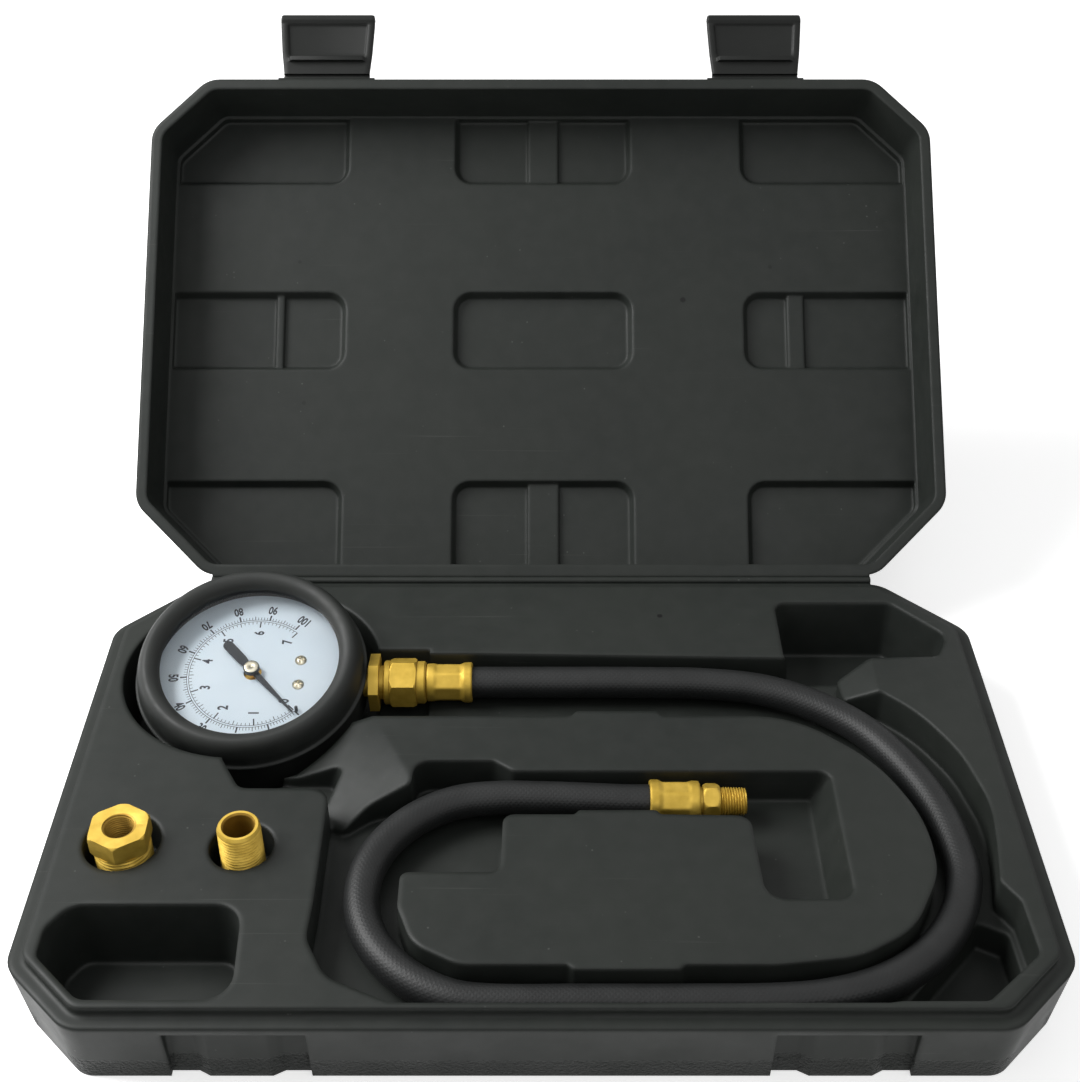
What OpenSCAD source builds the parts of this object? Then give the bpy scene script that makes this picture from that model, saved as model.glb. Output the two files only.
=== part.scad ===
// Oil pressure tester: a dial gauge on a rubber hose, with two thread adapters, in a moulded carrying case.
// Frame: origin at the middle of the base's underside, +X right, +Y towards the hinge, +Z up, millimetres.
// The case lies open: the lid leans back on its hinge and both latches stand out from its free edge.

/* [Case] */
// Outside width of the case at its rim
case_w = 336; // [330:1:352]
// Outside depth of the case at its rim
case_d = 218; // [214:1:234]
// Height of the base from its underside to the rim
rim_z = 27; // [26:0.5:34]
// Length that each rear corner of the outline is cut back
corner_cut = 30; // [20:1:36]
// Length that each front corner is cut back, and the lid's corners that shut over them
front_cut = 23.5; // [18:0.5:36]
// Radius where the cut corners meet the straight sides
corner_r = 12; // [6:1:18]
// How far the outer walls lean in between rim and floor
wall_draft = 3; // [0.5:0.5:6]
// Width of the rim ledge round the raised deck
rim_ledge = 5.2; // [5:0.1:7]
// Height of the deck above the rim
deck_rise = 3.5; // [2:0.5:6]
// Height of the floor of the deep pockets
pocket_z = 5; // [3:0.5:10]
// How far a deep pocket's walls lean in
pocket_draft = 3; // [0.5:0.5:5]
// Width of the border between the pockets and the case's sides
side_border = 9.8; // [9:0.1:14]
// Width of the border between the hose channel and the case's front
front_border = 7.2; // [6.8:0.1:12]
// How far the right wall of the pocket at the hose's end leans in
end_lean = 6.2; // [0:0.2:9]
// Depth of the step where the deck falls towards the gauge
neck_drop = 13; // [2:0.5:14]
// How far the right wall of the finger notch leans back
notch_lean = 6; // [0:0.5:12]

/* [Lid] */
// Depth inside the lid from its rim to its raised floor
lid_floor = 25; // [25:0.5:32]
// Thickness of the lid's skin under its panels
lid_wall = 3; // [2:0.2:5]
// Width of the lid's rim
lid_rim = 4.4; // [3:0.1:4.6]
// Angle between the closed lid and the open lid
lid_open = 136.6; // [95:0.2:160]
// Gap between the two rims when the lid is shut
seam = 0.2; // [0.1:0.05:0.5]
// Depth of the nine moulded panels in the lid's floor
panel_depth = 4; // [1:0.5:6]
// How far the lid's inner walls lean in
lid_draft = 1.4; // [0.5:0.1:3]
// Radius of the hinge bead
bead_r = 1.5; // [1:0.1:2]
// Running gap round the hinge beads
bead_gap = 0.1; // [0.05:0.01:0.2]

/* [Latches] */
// Distance between the middles of the two latches
latch_pitch = 187; // [160:1:200]
// Width of a latch
latch_w = 42; // [30:1:50]
// Length of a latch from its hinge to its finger edge
latch_len = 30; // [20:1:30]
// Thickness of a latch
latch_t = 2.6; // [2:0.1:3.2]
// Depth of the latch recess in the front wall
latch_recess = 5; // [4.8:0.1:7]
// Thickness of the rim lip that a latch hooks under
lip_t = 3.2; // [2.5:0.1:4.5]

/* [Gauge] */
// Radius of the gauge's steel can
can_r = 40; // [39:0.5:41]
// Thickness of the rubber boot round the can
boot_wall = 4; // [3:0.5:5]
// Width of the boot's lip over the can's front
boot_lip_w = 5.3; // [4.5:0.1:8]
// Distance from the stem axis back to the rear of the can
can_back = 8.5; // [8:0.5:9]
// Distance from the stem axis forward to the front of the can
can_front = 14.4; // [13:0.1:15]
// Wall of the steel can
can_wall = 0.8; // [0.6:0.1:1.2]
// Thickness of the lens
lens_t = 1.4; // [1:0.1:2]
// Distance from the stem axis forward to the dial's back
dial_h = 6; // [5.6:0.1:7]
// Thickness of the dial plate
dial_t = 0.6; // [0.4:0.1:1]
// Angle by which the gauge lies turned about its stem towards the front
gauge_tilt = 14; // [0:0.2:15]

/* [Movement] */
// Gear module
gear_m = 0.45; // [0.4:0.01:0.46]
// Teeth on the pinion
pinion_teeth = 10; // [10:1:12]
// Turns of the pinion for one turn of the whole sector circle
gear_ratio = 6; // [5:1:6]
// Radius of the middle line of the curved pressure tube
tube_r = 27; // [26:0.5:29]
// Radial thickness of the flattened pressure tube
tube_t = 3.2; // [2:0.2:4]
// Width of the flattened pressure tube along the dial axis
tube_w = 9; // [6:0.5:9.5]
// Thickness of the movement's plates
plate_t = 1; // [0.8:0.1:1.2]
// Radius of the movement's arbors
arbor_r = 0.8; // [0.6:0.05:1]
// Running gap of an arbor in its plate
arbor_gap = 0.06; // [0.03:0.01:0.1]

/* [Hose and fittings] */
// Outside diameter of the hose
hose_d = 12; // [10:0.5:12.4]
// Outside diameter of a crimped ferrule
ferrule_d = 15.4; // [14:0.2:15.8]
// Length of a crimped ferrule
ferrule_len = 17.6; // [14:0.2:18]
// Flats pressed into a ferrule
crimp_flats = 8; // [6:1:10]
// Width across corners of the stem's hexagon
stem_hex = 22; // [18:0.5:22.4]
// Width across corners of the hose coupling's hexagon
coupling_hex = 19.6; // [17:0.2:20]
// Radius of the stem's connecting thread
stem_thread_r = 6.5; // [5.5:0.1:7]
// Width across corners of the end fitting's hexagon
end_hex = 13.2; // [12:0.2:15]
// Radius of the end fitting's thread
end_thread_r = 5.1; // [4:0.1:5.5]
// Length of the end fitting's thread
end_thread_len = 9.4; // [7:0.2:12]
// Radius of the pressure passage through the fittings
passage_r = 2.2; // [1.5:0.1:3]

/* [Adapters] */
// Width across corners of the bushing's hexagon
bushing_hex = 21.8; // [20:0.2:24]
// Radius of the bushing's outer thread
bushing_r = 9.7; // [8:0.1:10]
// Radius of the bushing's threaded hole
bushing_bore_r = 4.9; // [4:0.1:6]
// Height of the bushing's hexagon
bushing_head = 7.6; // [5:0.2:10]
// Angle by which the bushing's hexagon lies turned
bushing_turn = 31; // [0:1:60]
// Radius of the nipple's outer thread
nipple_r = 7.5; // [6.5:0.1:8.5]
// Radius of the nipple's bore
nipple_bore_r = 5.2; // [3:0.1:5.6]
// How far the nipple stands above the deck
nipple_up = 10; // [6:0.5:14]
// Gap between an adapter and the wall of its socket
socket_gap = 3.4; // [1:0.2:4]

/* [Hidden] */
$fn = 64;
eps = 0.01;
// Space left between pieces that only lie beside each other
clear = 0.3;

black = [0.21, 0.22, 0.21];
rubber = [0.13, 0.13, 0.13];
brass = [0.78, 0.62, 0.24];
steel = [0.7, 0.71, 0.73];
white = [0.83, 0.88, 0.92];

deck_z = rim_z + deck_rise;
deck_x = case_w / 2 - rim_ledge;
deck_y = case_d / 2 - rim_ledge;
hinge_y = case_d / 2 + 2.4;
hinge_w = case_w - 2 * corner_cut - 6;

// The deck's layout is drawn as points about the middle. Its outermost points keep their border to the
// case's walls, its middle stays, and the points between move by their share.
front_left_drawn = [[-98, -63, 9], [-152, -63, 9], [-158.2, -73, 7], [-158.2, -84, 5],
    [-141.5, -100.8, 7], [-94.5, -100.8, 9], [-96, -72, 8]];
channel_drawn = [
    [-25, 61.5, 2], [-73.8, 61.5, 2], [-73.8, -62, 6], [-74.5, -77, 12], [-67, -92, 12],
    [-46, -101.8, 14], [106, -101.8, 3], [110, -101.2, 3], [136.5, -101.2, 4],
    [156.4, -83, 5], [155.6, -61.5, 4], [150.6, -53, 3], [153.4, -36, 50], [155.4, -18, 50],
    [150, 7.5, 60], [139, 28.5, 60], [127.5, 39.5, 3], [114.5, 43, 2], [113.5, 54.5, 2],
    [127, 59.5, 2], [127, 66, 2], [96, 66, 2], [96, 58.8, 2]];
reach_x = max([for (p = front_left_drawn) -p.x]);
reach_y = max([for (p = channel_drawn) -p.y]);
grow = [case_w / 2 - side_border - reach_x, case_d / 2 - front_border - reach_y];
function share(v, still, full) =
    v < still[0] ? max(-1, (v - still[0]) / (still[0] - full[0])) :
    v > still[1] ? min(1, (v - still[1]) / (full[1] - still[1])) : 0;
function spread(p) = [p.x + share(p.x, [0, 0], [-60, 60]) * grow.x,
    p.y + share(p.y, [-61, 3], [-84, 20]) * grow.y, p.z];
function spread_all(points) = [for (p = points) spread(p)];

gauge_at = spread([-109.5, 52.5, 0]);
gauge_x = gauge_at.x;
gauge_y = gauge_at.y;
// The stem axis, and the hose that follows it, lie at this height
line_z = rim_z - 3.5;
boot_r = can_r + boot_wall;
view_r = can_r - boot_lip_w;
cavity_r = boot_r + 4.4;
// The boot's low edge rests on the cavity's floor
cavity_z = line_z - (can_back + 2) * cos(gauge_tilt) - (boot_r - 2.5) * sin(gauge_tilt) - 0.1;
channel_z = line_z - ferrule_d / 2 - 0.2;

// Stations along the stem axis, counted from the dial's centre
hex_x = boot_r + clear;
hex_len = 3.7;
coupling_x = hex_x + hex_len + 1.7;
coupling_len = 16;
ferrule_x = coupling_x + coupling_len;

// Route of the hose's middle line from the gauge's ferrule to the end ferrule
hose_start = gauge_x + ferrule_x + ferrule_len;
hose_sides = 12;
hose_route = spread_all([
    [0, 52.5, 0], [24, 52.5, 0], [44, 52.3, 0], [62, 51.7, 0],
    [83, 48.5, 0], [102, 40, -0.1], [119, 26, -0.3], [131, 7, -0.5], [139, -14, -0.8],
    [142, -38, -1.1], [139.5, -53, -1.2], [132.5, -67, -1.3], [121.5, -79, -1.4], [107, -88, -1.5],
    [90, -93.3, -1.5], [72, -95.2, -1.5], [45, -95.5, -1.5], [15, -95.5, -1.5], [-15, -95.5, -1.5],
    [-30, -93, -1.4], [-43.5, -85, -1.2], [-53.5, -73.5, -1], [-58.8, -59.5, -0.8],
    [-58.8, -44.5, -0.6], [-53.5, -30.5, -0.4], [-43.5, -18.8, -0.2], [-30, -11.2, 0], [-15, -8.8, 0],
    [2, -9, 0], [18, -9.8, 0], [28, -10.4, 0]]);
end_at = spread([38, -10.5, 0]);
end_x = end_at.x;
end_y = end_at.y;

// Plane geometry

function unit(v) = v / norm(v);
function left_of(v) = [-v.y, v.x];

// Corner b of an outline a, b, c after both of its edges have moved to the left by d
function moved_corner(a, b, c, d) =
    let (n1 = left_of(unit(b - a)), n2 = left_of(unit(c - b)))
    b + d * (n1 + n2) / (1 + n1 * n2);

// Steps in the arc that rounds a corner of radius r
function arc_steps(r) = r < 7 ? 4 : r < 20 ? 6 : 12;

// The arc of radius r that rounds corner b of an outline a, b, c
function round_corner(a, b, c, r, n) =
    let (u = unit(a - b), w = unit(c - b), half = acos(u * w) / 2,
         sweep = sign(cross(b - a, c - b)) * (180 - 2 * half),
         centre = b + unit(u + w) * r / sin(half),
         arm = b + u * r / tan(half) - centre)
    [for (i = [0:n]) let (t = sweep * i / n)
        centre + [arm.x * cos(t) - arm.y * sin(t), arm.x * sin(t) + arm.y * cos(t)]];

// Closed outline, anticlockwise through corners [x, y, radius], with its edges moved inwards by d
function outline(corners, d = 0) =
    let (m = len(corners), p = [for (c = corners) [c.x, c.y]],
         q = [for (i = [0:m - 1]) moved_corner(p[(i + m - 1) % m], p[i], p[(i + 1) % m], d)])
    [for (i = [0:m - 1])
        let (a = q[(i + m - 1) % m], b = q[i], c = q[(i + 1) % m],
             bulge = cross(b - a, c - b) > 0 ? d : -d)
        each round_corner(a, b, c, max(corners[i].z - bulge, 0.2), arc_steps(corners[i].z))];

function box_corners(x0, y0, x1, y1, r) = [[x0, y0, r], [x1, y0, r], [x1, y1, r], [x0, y1, r]];

// Solid whose walls run straight from the outline low at height z0 to the outline high at height z1
module loft(low, z0, high, z1) {
    n = len(low);
    polyhedron(
        [for (p = low) [p.x, p.y, z0], for (p = high) [p.x, p.y, z1]],
        [[for (i = [0:n - 1]) i], [for (i = [n - 1:-1:0]) n + i],
         for (i = [0:n - 1]) let (j = (i + 1) % n) [i, n + i, n + j, j]]);
}

module slab(z0, z1, corners, d = 0) {
    translate([0, 0, z0]) linear_extrude(z1 - z0) polygon(outline(corners, d));
}

// A cylinder along +X from x0 to x1, and a hexagon of the same kind
module rod(x0, x1, r, n = 64) {
    translate([x0, 0, 0]) rotate([0, 90, 0]) cylinder(h = x1 - x0, r = r, $fn = n);
}

module ring(z0, z1, r_in, r_out) {
    translate([0, 0, z0]) difference() {
        cylinder(h = z1 - z0, r = r_out);
        translate([0, 0, -1]) cylinder(h = z1 - z0 + 2, r = r_in);
    }
}

// Places

module at_gauge() translate([gauge_x, gauge_y, line_z]) rotate([gauge_tilt, 0, 0]) children();
module on_stem() translate([gauge_x, gauge_y, line_z]) children();
module at_end() translate([end_x, end_y, line_z]) children();
module opened_lid() {
    translate([0, hinge_y, rim_z]) rotate([-lid_open, 0, 0]) translate([0, -hinge_y, -rim_z]) children();
}

// Case outlines

case_corners = let (x = case_w / 2, y = case_d / 2, c = corner_cut, f = front_cut, r = corner_r)
    [[x, y - c, r], [x - c, y, r], [c - x, y, r], [-x, y - c, r],
     [-x, f - y, r], [f - x, -y, r], [x - f, -y, r], [x, f - y, r]];

// Outer bank of the hose channel
channel_bank = spread_all(channel_drawn);

// Deck inside the hose's loop, with its hold-down tabs, cut from the left by the slot for the hose's end
end_wall_x = 102.2;
loop_island = spread_all([
    [92, 26, 40], [45, 26, 1.6], [43, 28.6, 1.6], [13, 28.6, 1.6], [11, 26, 1.6], [-90, 26, 1],
    [-90, -10, 1], [-69, -20, 3], [-60, -12.5, 14], [-45.5, -8.3, 2.4],
    [-45, 3, 6], [-17, 3, 4], [-10, -2.2, 3], [end_wall_x, -2.2, 5], [end_wall_x, -61, 6],
    [73, -61, 7], [71.5, -24, 5],
    [41, -23.4, 1.6], [39.5, -21.4, 1.6], [13, -21.4, 1.6], [11.5, -23.4, 1.6], [-13, -23.4, 4],
    [-13.5, -49.5, 4], [-46.5, -49.5, 3], [-46.5, -64, 10], [-41, -79, 14], [-26, -87.2, 14],
    [8, -87.2, 1.6], [10, -89.1, 1.6], [43, -89.1, 1.6], [45, -87.2, 1.6], [74, -87.2, 40],
    [100, -84, 30], [119, -73, 30], [131, -50, 30],
    [131.5, -26, 60], [119, 2, 60]]);

front_left_pocket = spread_all(front_left_drawn);
back_right_pocket = spread_all([[139.5, 92.8, 5], [93, 92.8, 5], [93, 57.5, 3], [152.5, 59.5, 4],
    [156.8, 69, 5], [156.8, 74, 5]]);
front_right_pocket = spread_all([[155.2, -62, 4], [144, -56, 3], [104, -100.8, 4], [136.3, -100.8, 4],
    [156, -82.8, 5]]);
finger_notch = spread_all([[-74, 8, 3], [-116, 8, 3], [-105.5, -11, 5], [-79, -11, 7]]);
notch_mouth = [for (p = finger_notch) [p.x + (p.x > gauge_x + 20 ? notch_lean : 0), p.y, p.z]];
// The deck falls from a line through neck_top to the front deck's rounded corner at neck_foot
neck_top = spread([-53.7, 9, 0]);
neck_foot = spread([-74, -17, 0]);
neck_turn = 25;
neck_field = spread_all([[-42, -40, 1], [-42, 45, 1], [-100, 45, 1], [-100, -11, 1], [-73.8, -11, 6.5],
    [-73.8, -40, 1]]);
end_field = spread_all(box_corners(80, -66, 108, 3, 1));
nose_at = spread([126.5, 50, 0]);

module deep_pocket(corners, floor_z) {
    rise = 1;
    flare = pocket_draft * rise / (deck_z - floor_z);
    loft(outline(corners, pocket_draft), floor_z, outline(corners, -flare), deck_z + rise);
}

module socket(x, y, r) translate([x, y, channel_z]) cylinder(h = deck_z, r = r);

// Deeper bay that takes the hexagons of stem and coupling
module fitting_bay() {
    half = stem_hex / 2 + clear;
    translate([gauge_x + can_r - 8, gauge_y - half - 3, line_z - stem_hex / 2 - 0.4])
        cube([ferrule_x - can_r + 9, 2 * half + 3, deck_z]);
}

// The deck's nose beside the corner pocket slopes down to the channel
module nose_ramp() {
    translate([nose_at.x, nose_at.y, deck_z]) rotate([0, -33, 0]) translate([-28, -13, 0]) cube([28, 26, 20]);
}

// The deck right of the gauge falls to the front left, down to the front deck's rounded step
module neck_ramp() {
    run = (neck_top - neck_foot) * [cos(neck_turn), sin(neck_turn), 0];
    intersection() {
        slab(deck_z - neck_drop - 1, deck_z + 1, neck_field);
        translate([neck_top.x, neck_top.y, deck_z]) rotate([0, -atan2(neck_drop, run), neck_turn])
            translate([-case_w, -case_d, 0]) cube([case_w, 2 * case_d, deck_z]);
    }
}

// Leaning right wall of the pocket at the hose's end
module end_wall() {
    x = spread([end_wall_x, 0, 0]).x;
    translate([0, case_d / 2, 0]) rotate([90, 0, 0]) linear_extrude(case_d)
        polygon([[x, deck_z], [x - end_lean, channel_z], [x - end_lean, 0], [x + 1, 0], [x + 1, deck_z]]);
}

// Case

bushing_at = spread([-141, -36, 0]);
nipple_at = spread([-100.5, -38, 0]);

module latch_bay(x) {
    half = latch_w / 2 + 1;
    back_y = latch_recess - case_d / 2;
    foot = half - 8.5;
    top = foot - 4;
    difference() {
        translate([x - half, -case_d, -1]) cube([2 * half, case_d + back_y, rim_z - lip_t + 1]);
        translate([x, 0, -2]) linear_extrude(rim_z)
            polygon([[-foot, back_y + 1], [-foot, back_y], [-top, back_y - 2.2], [top, back_y - 2.2],
                [foot, back_y], [foot, back_y + 1]]);
    }
}

module case_base() color(black) {
    difference() {
        union() {
            loft(outline(case_corners, wall_draft), 0, outline(case_corners), rim_z);
            slab(rim_z - eps, deck_z, case_corners, rim_ledge);
            translate([-hinge_w / 2, case_d / 2 - 2, rim_z - 2.8])
                cube([hinge_w, hinge_y - case_d / 2 + 2, 2.6]);
        }
        translate([0, hinge_y, rim_z]) rod(-case_w / 2, case_w / 2, bead_r + 0.03);
        translate([gauge_x, gauge_y, cavity_z])
            cylinder(h = deck_z - cavity_z + eps, r1 = cavity_r - 2, r2 = cavity_r);
        loft(outline(finger_notch), 12, outline(notch_mouth), deck_z + 1);
        fitting_bay();
        nose_ramp();
        difference() {
            slab(channel_z, deck_z + 1, channel_bank);
            slab(channel_z - 1, deck_z + 2, loop_island);
            intersection() {
                end_wall();
                slab(0, deck_z, end_field);
            }
        }
        neck_ramp();
        deep_pocket(front_left_pocket, pocket_z);
        deep_pocket(back_right_pocket, pocket_z);
        deep_pocket(front_right_pocket, pocket_z);
        socket(bushing_at.x, bushing_at.y, bushing_r + socket_gap);
        socket(nipple_at.x, nipple_at.y, nipple_r + socket_gap);
        for (side = [-1, 1]) latch_bay(side * latch_pitch / 2);
        // Shallow field in the underside, between a standing rim and a pad
        difference() {
            slab(-1, 1.2, case_corners, wall_draft + 16);
            slab(-2, 2, box_corners(-60, -35, 60, 35, 10));
        }
    }
}

module hinge_bead() color(black) translate([0, hinge_y, rim_z]) rod(-hinge_w / 2, hinge_w / 2, bead_r);

latch_y = -case_d / 2 - latch_t / 2 - 0.5;
latch_z = rim_z + 4;

// The nine panels: three columns of three, the outer ones open to the lid's walls
panel_x = [[-case_w, -85.5], [-38.5, 40.2], [88.8, case_w]];
panel_y = [[-case_d, -71], [-21, 14.4], [64, case_d]];
panel_r = 8;
panel_slope = 2.2;
lid_top = rim_z + lid_floor + panel_depth + lid_wall;

// Raised bars across some of the panels: middle of the bar, row and width
panel_bars = [[1, 0, 15], [1, 2, 15], [-114.5, 1, 5], [112, 1, 9]];

module lid_panels() {
    z0 = rim_z + lid_floor;
    for (x = panel_x, y = panel_y) {
        corners = box_corners(x[0], y[0], x[1], y[1], panel_r);
        loft(outline(corners), z0 - eps, outline(corners, panel_slope), z0 + panel_depth);
    }
}

module lid_bars() {
    z0 = rim_z + lid_floor;
    for (b = panel_bars) {
        y = panel_y[b[1]];
        corners = box_corners(b[0] - b[2] / 2, y[0] - 1, b[0] + b[2] / 2, y[1] + 1, 0.6);
        loft(outline(corners, 1), z0 + panel_depth / 2, outline(corners), z0 + panel_depth + 1);
    }
}

module case_lid() color(black) opened_lid() {
    foot_z = rim_z + seam;
    difference() {
        union() {
            loft(outline(case_corners), foot_z, outline(case_corners, 4), lid_top);
            translate([-hinge_w / 2, case_d / 2 - 2, rim_z + 0.2])
                cube([hinge_w, hinge_y - case_d / 2 + 2, 2.6]);
            for (side = [-1, 1]) translate([side * latch_pitch / 2 - latch_w / 2, latch_y, latch_z - 1.5])
                cube([latch_w, -latch_y - case_d / 2 + 3, 3]);
        }
        loft(outline(case_corners, lid_rim), foot_z - 1,
            outline(case_corners, lid_rim + lid_draft), rim_z + lid_floor);
        intersection() {
            slab(rim_z + lid_floor - 1, lid_top - lid_wall, case_corners, lid_rim + lid_draft + 1.2);
            difference() {
                lid_panels();
                lid_bars();
            }
        }
        // Shallow field in the outer face
        slab(lid_top - 0.8, lid_top + 1, case_corners, 24);
        translate([0, hinge_y, rim_z]) rod(-case_w / 2, case_w / 2, bead_r + bead_gap);
        translate([0, latch_y, latch_z]) rod(-case_w / 2, case_w / 2, latch_t / 2 + bead_gap);
    }
}

// A latch hangs from its bead over the base's rim lip, with a hook behind and a finger edge below
module latch(side) {
    half = latch_w / 2 - 0.3;
    t = latch_t / 2;
    hook_z = rim_z - lip_t - 0.4;
    translate([side * latch_pitch / 2, latch_y, latch_z]) rotate([-90, 0, 0]) {
        rod(-half, half, t);
        translate([-half, -t, -2]) cube([2 * half, t - 0.2, 2]);
        difference() {
            translate([-half, -t, -latch_len]) cube([2 * half, 2 * t, latch_len - 1.9]);
            translate([4 - half, t - 0.9, 5 - latch_len]) cube([2 * half - 8, 1, latch_len - 15]);
        }
        // Hook
        translate([3 - half, t - eps, hook_z - latch_z - 2]) cube([2 * half - 6, 1.8, 2]);
        // Finger edge
        translate([0, -t + 0.2, 1.6 - latch_len]) rod(-half, half, 1.6);
    }
}

module latch_left() color(black) opened_lid() latch(-1);
module latch_right() color(black) opened_lid() latch(1);

// Gauge: boot, can, lens and dial, drawn about the dial axis with the stem along +X

lens_z = can_front - lens_t;
stem_r = 5.5;
// The boot's rolled rim, its bead and the edge that it turns in behind the can
rim_r = (boot_r - 2.1 - view_r) / 2;
rim_up = can_front + 1;
bead_up = can_front - 6.4;
boot_bead_r = 1.2;
boot_skin = boot_wall - 1.6;
boot_turn_in = 6;

module gauge_boot() color(rubber) at_gauge() difference() {
    rotate_extrude($fn = 96) polygon(concat(
        [[can_r - boot_turn_in, -can_back - 2], [can_r + boot_skin - 1.8, -can_back - 2],
         [can_r + boot_skin, -can_back - 0.4], [can_r + boot_skin, bead_up - 1.4]],
        [for (a = [-60:30:60]) [boot_r - boot_bead_r + boot_bead_r * cos(a), bead_up + boot_bead_r * sin(a)]],
        [[boot_r - 1.9, bead_up + 1.6]],
        [for (a = [-25:15:170]) [view_r + rim_r + rim_r * cos(a), rim_up + rim_r * sin(a)]],
        [[view_r, rim_up], [view_r, can_front + 0.05], [can_r + 0.05, can_front + 0.05],
         [can_r + 0.05, -can_back - 0.05], [can_r - boot_turn_in, -can_back - 0.05]]));
    rod(can_r - 2, boot_r + 2, stem_r + clear);
}

module gauge_can() color(steel) at_gauge() difference() {
    translate([0, 0, -can_back]) cylinder(h = can_back + can_front, r = can_r, $fn = 96);
    translate([0, 0, can_wall - can_back]) cylinder(h = can_back + can_front, r = can_r - can_wall, $fn = 96);
    rod(can_r - 4, can_r + 4, stem_r + 0.05);
}

module lens() color([0.9, 0.95, 0.97, 0.3]) at_gauge()
    translate([0, 0, lens_z]) cylinder(h = lens_t, r = can_r - can_wall - 0.1, $fn = 96);

// Spacer ring between dial and lens
module lens_seat() color(rubber) at_gauge()
    ring(dial_h + dial_t, lens_z, view_r + 2, can_r - can_wall - 0.1);

dial_screw_at = [17.8, 5.6];
dial_hole_r = 3.4;

module at_dial_screws(z) {
    for (s = [-1, 1]) translate([dial_screw_at.x, s * dial_screw_at.y, z]) children();
}

module dial_plate() color(white) at_gauge() difference() {
    translate([0, 0, dial_h]) cylinder(h = dial_t, r = can_r - can_wall - 0.3, $fn = 96);
    translate([0, 0, dial_h - 1]) cylinder(h = 3, r = dial_hole_r);
    at_dial_screws(dial_h - 1) cylinder(h = 3, r = 1.1);
}

module dial_screws() color(steel) at_gauge() {
    at_dial_screws(dial_h - 3) cylinder(h = 3 + dial_t, r = 1);
    at_dial_screws(dial_h + dial_t) cylinder(h = 1.1, r1 = 2, r2 = 1.5);
}

// Movement: pinion on the dial axis, sector beside it, link to the tip of the pressure tube

pinion_pitch_r = gear_m * pinion_teeth / 2;
sector_pitch_r = pinion_pitch_r * gear_ratio;
sector_dir = 140;
sector_at = (pinion_pitch_r + sector_pitch_r) * [cos(sector_dir), sin(sector_dir)];
sector_teeth = pinion_teeth * gear_ratio;
pointer_zero = -48;
pointer_tip = 25.5;
pointer_tail = 15.7;
tail_r = 1.5;
pointer_sweep = 270;
sector_sweep = pointer_sweep / gear_ratio;
rear_plate_z = -3;
front_plate_z = 4;
gear_z = 0.6;
link_z = -1.2;
link_t = 0.8;

// Tooth with straight flanks about the angle at, on the pitch radius r
function tooth(r, teeth, at) =
    let (w = 360 / teeth, add = 0.8 * gear_m, ded = 1.1 * gear_m)
    [for (k = [[-0.33, -ded], [-0.21, 0], [-0.1, add], [0.1, add], [0.21, 0], [0.33, -ded]])
        (r + k[1]) * [cos(at + k[0] * w), sin(at + k[0] * w)]];

module pinion_arbor() color(brass) at_gauge() {
    translate([0, 0, gear_z - 0.4]) linear_extrude(2)
        polygon([for (i = [0:pinion_teeth - 1])
            each tooth(pinion_pitch_r, pinion_teeth, sector_dir + i * 360 / pinion_teeth)]);
    translate([0, 0, rear_plate_z]) cylinder(h = dial_h + 3.6 - rear_plate_z, r = arbor_r);
}

// At rest the first tooth space of the sector faces the pinion, and the rest follows anticlockwise
module sector_gear() color(brass) at_gauge() translate([sector_at.x, sector_at.y, 0]) {
    pitch = 360 / sector_teeth;
    facing = sector_dir + 180;
    count = ceil(sector_sweep / pitch) + 1;
    first = facing + pitch / 2;
    translate([0, 0, gear_z]) linear_extrude(1.2) polygon([[0, 0],
        for (i = [count:-1:-1]) each tooth(sector_pitch_r, sector_teeth, first - i * pitch)]);
    translate([0, 0, gear_z]) cylinder(h = 1.2, r = 2.4);
    // Tail and the pin that the link hangs on
    rotate([0, 0, tail_dir]) translate([0, -1, gear_z]) cube([tail_len, 2, 1.2]);
    translate([tail.x, tail.y, link_z - 0.3]) cylinder(h = gear_z + 1.5 - link_z, r = 0.7);
    translate([0, 0, rear_plate_z]) cylinder(h = front_plate_z + plate_t - rear_plate_z, r = arbor_r);
}

tail_dir = 75;
tail_len = 6.5;
tail = tail_len * [cos(tail_dir), sin(tail_dir)];
tip_end = [1.5, 21];

// The link's far eye lies over the tip's ear, and that pivot is left open
module tip_link() color(brass) at_gauge() {
    a = sector_at + tail;
    v = tip_end - a;
    translate([a.x, a.y, link_z]) rotate([0, 0, atan2(v.y, v.x)]) difference() {
        linear_extrude(link_t) union() {
            circle(r = 1.5);
            translate([norm(v), 0]) circle(r = 1.5);
            translate([0, -0.9]) square([norm(v), 1.8]);
        }
        translate([0, 0, -1]) cylinder(h = 3, r = 0.75);
        translate([norm(v), 0, -1]) cylinder(h = 3, r = 0.75);
    }
}

// Flat spiral spring round the arbor, pinned to the front plate at its outer end
spring_turns = 3;
spring_pitch = 0.9;
spring_strip = 0.3;
function spiral(r0, n) = [for (i = [0:n]) let (a = 360 * spring_turns * i / n)
    (r0 + spring_pitch * a / 360) * [cos(a), sin(a)]];

module hairspring() color(steel) at_gauge() {
    n = 24 * spring_turns;
    r0 = arbor_r + clear;
    inner = spiral(r0, n);
    outer = spiral(r0 + spring_strip, n);
    translate([0, 0, 3]) linear_extrude(0.7)
        polygon(concat(inner, [for (i = [n:-1:0]) outer[i]]));
    translate([r0 + spring_pitch * spring_turns + spring_strip / 2, 0, 3])
        cylinder(h = front_plate_z - 3, r = 0.5);
}

plate_corners = [
    [-19.5, 13, 4], [-19.5, -6, 4], [-8, -13, 4], [11, -13, 4], [13, 4, 3], [11, 13, 4], [-6, 15, 4]];
pillar_at = [[-16.5, -3.5], [8, -9.5], [8.5, 9.5]];

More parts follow.
